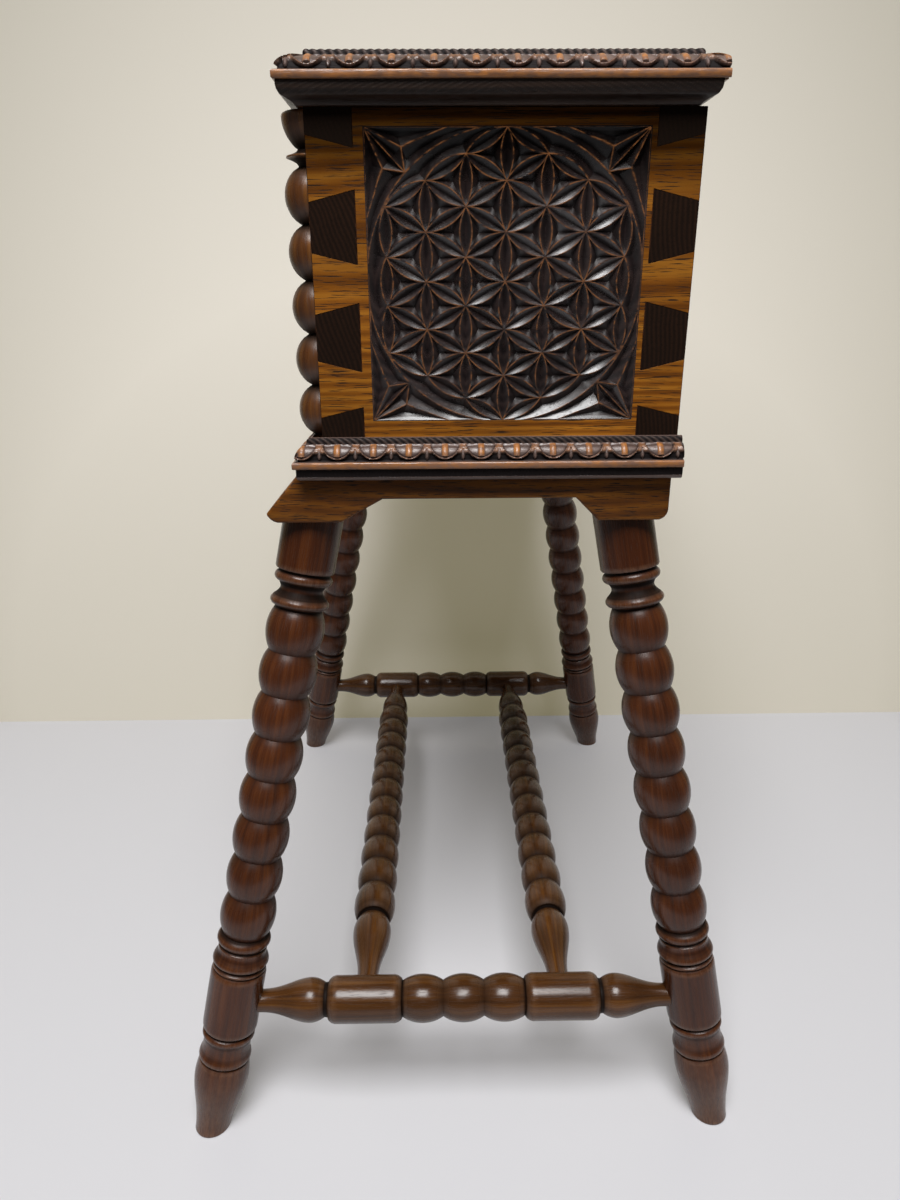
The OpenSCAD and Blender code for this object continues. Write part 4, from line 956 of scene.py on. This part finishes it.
def egg_and_dart(a, v, pitch, first):
    """Depth, wear, and darkening by grime and painted shade of the carving at distance a along the moulding
    and share v up its swell.
    """
    x = np.abs((a - first + pitch / 2) % pitch - pitch / 2)
    half = pitch / 2
    # Each egg hangs from the top edge in a thin rim, with a round bar down its middle
    rim_w, bar_w = 0.87 * half, 1.75
    rho = np.sqrt((x / rim_w) ** 2 + (np.clip(0.93 - v, 0, 1) / 0.83) ** 2)
    egg = 1.5 - 0.6 * np.clip(1 - (rho / 0.86) ** 2, 0, 1)
    bar = (x < bar_w) & (rho < 0.84)
    egg = np.where(bar, 0.15 + 0.8 * (1 - np.sqrt(np.clip(1 - (x / bar_w) ** 2, 0, 1))), egg)
    egg = egg + 0.7 * (1 - smooth(np.abs(rho - 0.875), 0, 0.03))
    rim = 0.2 + 1.2 * np.clip(np.abs(rho - 0.95) / 0.06, 0, 1) ** 2
    # Between two eggs their rims spread into an arch over a pointed leaf
    d = half - x
    arch = smooth(v, 0.34, 0.5) * (1 - smooth((rho - 1) * rim_w, 1.5, 2.1))
    leaf_w = 1.5 * np.sin(math.pi * np.clip((v - 0.06) / 0.58, 0, 1)) ** 0.8 + 0.01
    leaf = np.clip(1 - (d / leaf_w) ** 2, 0, 1) * (1 - arch)
    ground = 2.7 - 2.0 * arch - 1.6 * leaf
    depth = np.where(rho < 0.9, egg, np.where(rho < 1.0, np.minimum(rim, ground), ground))
    depth = depth * smooth(v, 0.0, 0.05) * smooth(1 - v, -0.02, 0.04)
    wear = np.where(bar, smooth(v, 0.12, 0.45), 0) + 0.45 * arch * (rho > 1)
    wear = wear + 0.3 * (np.abs(rho - 0.95) < 0.04)
    # The deep ground round the eggs darkens: grime, and painted shade in the recesses
    dirt_and_shade = np.clip((depth - 1.15) / 1.2, 0, 1)
    return depth, np.clip(wear, 0, 1), dirt_and_shade


def rope(a, theta, pitch, cut):
    """Twisted rope: theta runs from 0 to 1 across the bead, over which the strands shift by 1.1 pitches."""
    strand = a / pitch + theta * 1.1
    wave = 0.5 + 0.5 * np.cos(2 * math.pi * strand)
    depth = cut * (1 - np.abs(np.sin(math.pi * strand))) ** 0.8
    # The rope darkens, most in the valleys between its strands: grime, and painted shade in the creases
    return depth, 0.1 * (1 - wave), np.clip(0.6 + 0.6 * wave, 0, 1)


def swell(p, q, n):
    """Quarter of an ellipse from p, where it runs upwards, to q."""
    t = np.linspace(0, math.pi / 2, n + 1)
    return np.column_stack([p[0] + (q[0] - p[0]) * (1 - np.cos(t)), p[1] + (q[1] - p[1]) * np.sin(t)])


# Kinds of carving on a moulding, and the pitch and depth of two of them
PLAIN, SWELL, ROPE, BAND, TICKS = range(5)
ROPE_CUTS, TICK_CUTS = (4.4, 0.6), (2.2, 0.25)


def tagged(points, kind=PLAIN):
    """Outline points with their kind of carving and their share of the way across it."""
    points = np.asarray(points, float)
    length = np.append(0, np.cumsum(np.linalg.norm(np.diff(points, axis=0), axis=1)))
    share = length / (length[-1] or 1.0)
    return np.column_stack([points, np.full(len(points), kind), share])


def dense(points, step):
    """Outline with points added so that none lie further apart than step."""
    points = np.asarray(points, float)
    out = [points[0]]
    for p, q in zip(points, points[1:]):
        n = max(1, int(np.ceil(np.linalg.norm(q - p) / step)))
        out.extend(p + (q - p) * k / n for k in range(1, n + 1))
    return np.array(out)


# How far the mouldings stand out, the heights of their fillet and of the lid's cove, and the rope's width
MOULDING_W, FILLET_H, COVE_H, ROPE_W = 11.65, 4.3, 10.7, 4.6


def base_outline():
    """Ticked foot, fillet, swell and rope, from the bottom up."""
    w, z1 = MOULDING_W - 2, 7.5
    z2, rope_z, top = z1 + FILLET_H, 21.6, 25.4
    bulge = swell((MOULDING_W - 1, z2), (ROPE_W * 0.7, rope_z), 30)
    turns = np.linspace(0.02, 1.35, 9)
    rope_arc = [(ROPE_W * 0.7 * math.cos(t) ** 0.7, rope_z + 3.8 * math.sin(t)) for t in turns]
    stretches = (
        tagged([(0, 0), (w - 2.5, 0), (w - 0.6, 0.9), (w, 2.4)]),
        tagged(dense([(w, 2.6), (w, z1 - 0.2)], 1.0), TICKS),
        tagged([(w + 0.4, z1), (MOULDING_W - 0.6, z1), (MOULDING_W, z1 + 0.6), (MOULDING_W, z2 - 0.9)]),
        tagged([(MOULDING_W - 0.3, z2 - 0.3), (MOULDING_W - 0.9, z2)]),
        tagged(bulge, SWELL),
        tagged(rope_arc, ROPE),
        tagged([(0.4, top), (0, top)]),
    )
    return np.vstack(stretches)


def lid_outline():
    """Fillet, swell, and a rope beside the step that holds the lid's board, from the bottom up."""
    step_w, h = 9.0, 14.0
    rope_a = -step_w + 0.8
    bulge = swell((MOULDING_W - 1, FILLET_H), (rope_a + ROPE_W, h), 36)
    t = np.linspace(0, math.pi, 13)
    rope_arc = np.column_stack([rope_a + ROPE_W / 2 + ROPE_W / 2 * np.cos(t), h + 3 * np.sin(t) ** 0.8])
    stretches = (
        tagged([(-step_w, 0), (MOULDING_W - 0.6, 0), (MOULDING_W, 0.6), (MOULDING_W, FILLET_H - 0.9)]),
        tagged([(MOULDING_W - 0.3, FILLET_H - 0.3), (MOULDING_W - 0.9, FILLET_H)]),
        tagged(bulge, SWELL),
        tagged(rope_arc, ROPE),
        tagged([(-step_w, h)]),
    )
    return np.vstack(stretches)


def cove_outline():
    """Hollow and a band with slanting cuts, from the bottom up."""
    w, h = MOULDING_W - 1.6, COVE_H
    band = dense([(w - 1.5, h * 0.42), (w - 0.4, h * 0.60), (w, h * 0.80), (w, h - 0.1)], 0.7)
    stretches = (
        tagged([(0, 0)]),
        tagged(hollow(0, h * 0.38, 1, w - 2, 1)),
        tagged(band, BAND),
        tagged([(w, h), (0, h)]),
    )
    return np.vstack(stretches)


def band_cuts(a, up, length):
    """Slanting gouge cuts that lean towards the middle of the moulding from both ends."""
    slant, pitch = 2.4, 5.2
    lean = np.where(a < length / 2, -1, 1) * slant
    phase = ((a + lean * up) / pitch) % 1
    depth = 0.32 * np.sin(math.pi * phase) ** 0.8
    wear = np.clip(1 - np.minimum(phase, 1 - phase) / 0.09, 0, 1) * 0.55
    return depth, wear, 0.3


def run_of(edge, front, back):
    """place, length and grain axis of a moulding along the front, an end or the back of a board."""
    if edge == "front":
        return lambda a, u, z: np.column_stack([a - half_l, front - u, z]), 2 * half_l, 0
    if edge == "back":
        return lambda a, u, z: np.column_stack([a - half_l, back + u, z]), 2 * half_l, 0
    sign = -1 if edge == "left" else 1
    return lambda a, u, z: np.column_stack([sign * (half_l + u), front + a, z]), back - front, 1


# For a moulding that isn't cut off
NO_LIMIT = 1e9


def moulding(
    node, ending, outline, edge, span, z, material, body, eggs=None, end_flat=NO_LIMIT, planed=NO_LIMIT
):
    """Moulding along an edge of a board that spans in Y from its front to its back.

    eggs are the carving's pitch at the ends, its repeats along the front, and the first one's place. Mitres
    are cut off at end_flat at the back of the ends, and what stands out past planed is gone."""
    name = node + ending
    rng = seeded(name)
    place, length, grain_axis = run_of(edge, *span)
    ends = edge in ("left", "right")
    step = 0.6 if ends else 0.75
    u, up, kind, v = outline.T[:, :, None]
    around = np.roll(outline[:, :2], -1, axis=0) - np.roll(outline[:, :2], 1, axis=0)
    normal = np.column_stack([around[:, 1], -around[:, 0]])
    normal /= np.linalg.norm(normal, axis=1)[:, None]
    a = np.arange(-MOULDING_W - 1, length + MOULDING_W + 1 + step, step)[None, :]
    uneven = a + 0.35 * wobble(rng, a / 60)
    shape = (len(outline), a.shape[1])
    depth, wear, dirt_and_shade = np.zeros(shape), np.zeros(shape), np.zeros(shape)
    carved = {
        ROPE: rope(uneven, v, *ROPE_CUTS),
        BAND: band_cuts(uneven, up, length),
        TICKS: rope(uneven, 0, *TICK_CUTS),
    }
    if eggs:
        end_pitch, repeats, first = eggs
        pitch = end_pitch if ends else (length - 2 * first) / repeats
        carved[SWELL] = egg_and_dart(uneven, v, pitch, first)
    for value, result in carved.items():
        rows = (kind == value)[:, 0]
        for target, source in zip((depth, wear, dirt_and_shade), result):
            target[rows] = np.broadcast_to(source, shape)[rows]
    plain = (kind == PLAIN)[:, 0] & (u[:, 0] > MOULDING_W - 1.2)
    wear[plain] = 0.8 + 0.2 * wobble(rng, a / 25)[0]
    # The ticked foot is darkened all over
    dirt_and_shade[(kind == TICKS)[:, 0]] = 1.0
    depth = depth + 0.12 * (0.5 + 0.5 * wobble(rng, a / 45, v)) * (u > 3)
    out = np.minimum(u - normal[:, :1] * depth, planed)
    rise = up - normal[:, 1:] * depth
    low = -out
    high = length + (np.minimum(out, end_flat) if ends else out)
    spot = np.clip(np.broadcast_to(a, shape), low, high)
    points = place(spot.ravel(), out.ravel(), rise.ravel() + z)
    index = np.arange(spot.size).reshape(shape)
    faces = grid_faces(np.vstack([index, index[:1]]))
    faces += [index[:, 0].tolist(), index[::-1, -1].tolist()]
    grain = along(grain_axis)(points)
    return add_piece(
        name, points, faces, [material], body, [node], grain, wear.ravel(), dirt_and_shade.ravel(), sharp=50
    )


base_lo, base_hi = corners("base_board")
lid_lo, lid_hi = corners("lid_board")
base_span, lid_span = (base_lo[1], base_hi[1]), (lid_lo[1], lid_hi[1])
lid_z = lid_lo[2]

# The lid's moulding is planed flat at the back, this far out from the board's edge there
BACK_FLAT = 6.85
lid_run = (lid_lo[1], corners("lid_moulding_back")[1][1] - BACK_FLAT)

for edge in ("front", "left", "right"):
    moulding(
        f"base_moulding_{edge}", "_carved", base_outline(), edge, base_span, base_lo[2], moulded, "cabinet",
        eggs=(21.95, 18, 16.1), end_flat=0,
    )
for edge in ("front", "left", "right", "back"):
    moulding(
        f"lid_moulding_{edge}", "_carved", lid_outline(), edge, lid_run, lid_z + COVE_H, moulded, "lid",
        eggs=(22.12, 19, 7.1), end_flat=BACK_FLAT,
        planed=BACK_FLAT if edge == "back" else NO_LIMIT,
    )
for edge in ("front", "left", "right"):
    moulding(
        f"lid_cove_{edge}", "_cut", cove_outline(), edge, lid_span, lid_z, dark_moulded, "lid"
    )


# Plain boards: the frame's own shapes with their edges eased
def eased(node, material, body, grain_axis, width):
    """Piece with a CAD node's shape and rounded edges."""
    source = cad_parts[node].data
    work = bmesh.new()
    work.from_mesh(source)
    bmesh.ops.remove_doubles(work, verts=work.verts, dist=0.000005)
    bmesh.ops.dissolve_limit(work, angle_limit=math.radians(2), verts=work.verts, edges=work.edges)
    sharp = [e for e in work.edges if e.is_manifold and e.calc_face_angle(0) > math.radians(40)]
    bmesh.ops.bevel(
        work, geom=sharp, offset=width * MM, segments=2, profile=0.6, affect="EDGES", clamp_overlap=True
    )
    bmesh.ops.triangulate(work, faces=[f for f in work.faces if len(f.verts) > 4])
    points = np.array([v.co for v in work.verts]) / MM
    faces = [[v.index for v in f.verts] for f in work.faces]
    work.free()
    grain = along(grain_axis)(points)
    return add_piece(node + "_eased", points, faces, [material], body, [node], grain)


eased("lid_board", lid_wood, "lid", 0, 0.4)
eased("lid_cove_back", dark_moulded, "lid", 0, 0.4)
eased("base_board", lid_wood, "cabinet", 0, 0.5)
for side in ("front", "back"):
    eased("tray_runner_" + side, plain_wood, "cabinet", 0, 0.8)
for name, axis, width in (
    ("bottom", 0, 0.4), ("front", 0, 1.2), ("back", 0, 1.2), ("left", 1, 1.2), ("right", 1, 1.2),
    ("divider_long", 0, 0.9), ("divider_front", 1, 0.9), ("divider_back", 1, 0.9),
):
    eased("tray_" + name, plain_wood, "tray", axis, width)

# Metal parts keep the frame's own shapes
for node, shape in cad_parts.items():
    if shape.hide_render:
        continue
    material = steel if node in ("rail_screws", "base_screws") else brass
    shape.data.materials.clear()
    shape.data.materials.append(material)
    shape.data.set_sharp_from_angle(angle=math.radians(30))


# Room
# Painted shade on the floor: its brightness against its distance from the chest, which is given as a share
# of 4 m
PAINTED_FALLOFF_REACH, PAINTED_FALLOFF = 4, [(0.18, 1.0), (0.34, 0.16)]


def stage_material(name, seen, bounced, rough, glow, glow_colour):
    """Room surface with one colour for the eye and mirrored views, and a darker one for bounced light."""
    material, tree, shader = new_material(name)
    ray = add_node(tree, "ShaderNodeLightPath").outputs
    looked_at = math_node(tree, "MAXIMUM", ray["Is Camera Ray"], ray["Is Glossy Ray"])
    looked_at = math_node(tree, "MAXIMUM", looked_at, ray["Is Transmission Ray"])
    colour = mix_colour(tree, looked_at, bounced, seen)
    # The floor is painted darker far from the chest, painted shade where less light falls in the room
    away = add_node(tree, "ShaderNodeVectorMath", {0: object_coords(tree)}, operation="LENGTH")
    painted_falloff = ramp(tree, times(tree, away.outputs["Value"], 1 / PAINTED_FALLOFF_REACH), PAINTED_FALLOFF)
    tree.links.new(mix_colour(tree, 1.0, colour, painted_falloff, "MULTIPLY"), shader.inputs["Base Color"])
    shader.inputs["Emission Color"].default_value = (*glow_colour, 1)
    tree.links.new(times(tree, looked_at, glow), shader.inputs["Emission Strength"])
    shader.inputs["Roughness"].default_value = rough
    return material


def stage_plane(name, points, material):
    mesh = bpy.data.meshes.new(name)
    mesh.from_pydata(points, [], [(0, 1, 2, 3)])
    mesh.materials.append(material)
    plane = add_object(name, mesh)


# In metres: how far the room reaches from the middle, its height, and where the wall stands
REACH, ROOM_H, WALL_X = 4, 3, -0.349
stage_plane(
    "floor",
    [(-REACH, -REACH, 0), (REACH, -REACH, 0), (REACH, REACH, 0), (-REACH, REACH, 0)],
    stage_material("pale_floor", (0.60, 0.597, 0.625), (0.34, 0.33, 0.31), 0.7, 0.21, (0.67, 0.66, 0.66)),
)
stage_plane(
    "backdrop",
    [(WALL_X, -REACH, 0), (WALL_X, REACH, 0), (WALL_X, REACH, ROOM_H), (WALL_X, -REACH, ROOM_H)],
    stage_material("pale_wall", (0.81, 0.77, 0.74), (0.45, 0.39, 0.26), 0.8, 0.22, (0.67, 0.60, 0.32)),
)

# One large lamp above the right end, and a faint sky
LAMP_PLACE, LAMP_TARGET = Vector((1.1, -0.1, 2.3)), Vector((0.1, 0.0, 0.4))
lamp = bpy.data.lights.new("key", "AREA")
lamp.shape = "RECTANGLE"
lamp.size, lamp.size_y = 1.1, 1.15
lamp.energy = 57
thing = add_object("key", lamp)
thing.location = LAMP_PLACE
thing.rotation_euler = (LAMP_TARGET - LAMP_PLACE).to_track_quat("-Z", "Y").to_euler()
world = bpy.data.worlds.new("room")
bpy.context.scene.world = world
world.use_nodes = True
sky = world.node_tree.nodes["Background"]
sky.inputs["Color"].default_value = (1.0, 0.99, 0.97, 1)
sky.inputs["Strength"].default_value = 0.10

# Camera at the photograph's place in metres, turned down, sideways and about its own line of sight
CAMERA_PLACE, CAMERA_TURNS = (0.722, -0.01285, 0.5939), (20.85, -0.69, -0.29)
camera = bpy.data.cameras.new("camera")
camera.lens = 24.45
camera.sensor_width = 36
thing = add_object("camera", camera)
down, yaw, roll = (math.radians(k) for k in CAMERA_TURNS)
forward = Vector((-math.cos(down) * math.cos(yaw), -math.cos(down) * math.sin(yaw), -math.sin(down)))
level = forward.cross(Vector((0, 0, 1))).normalized()
upright = level.cross(forward)
right = level * math.cos(roll) + upright * math.sin(roll)
up = -level * math.sin(roll) + upright * math.cos(roll)
turn = Matrix((right, up, -forward)).transposed().to_4x4()
turn.translation = CAMERA_PLACE
thing.matrix_world = turn
bpy.context.scene.camera = thing
bpy.context.scene.view_settings.view_transform = "Standard"
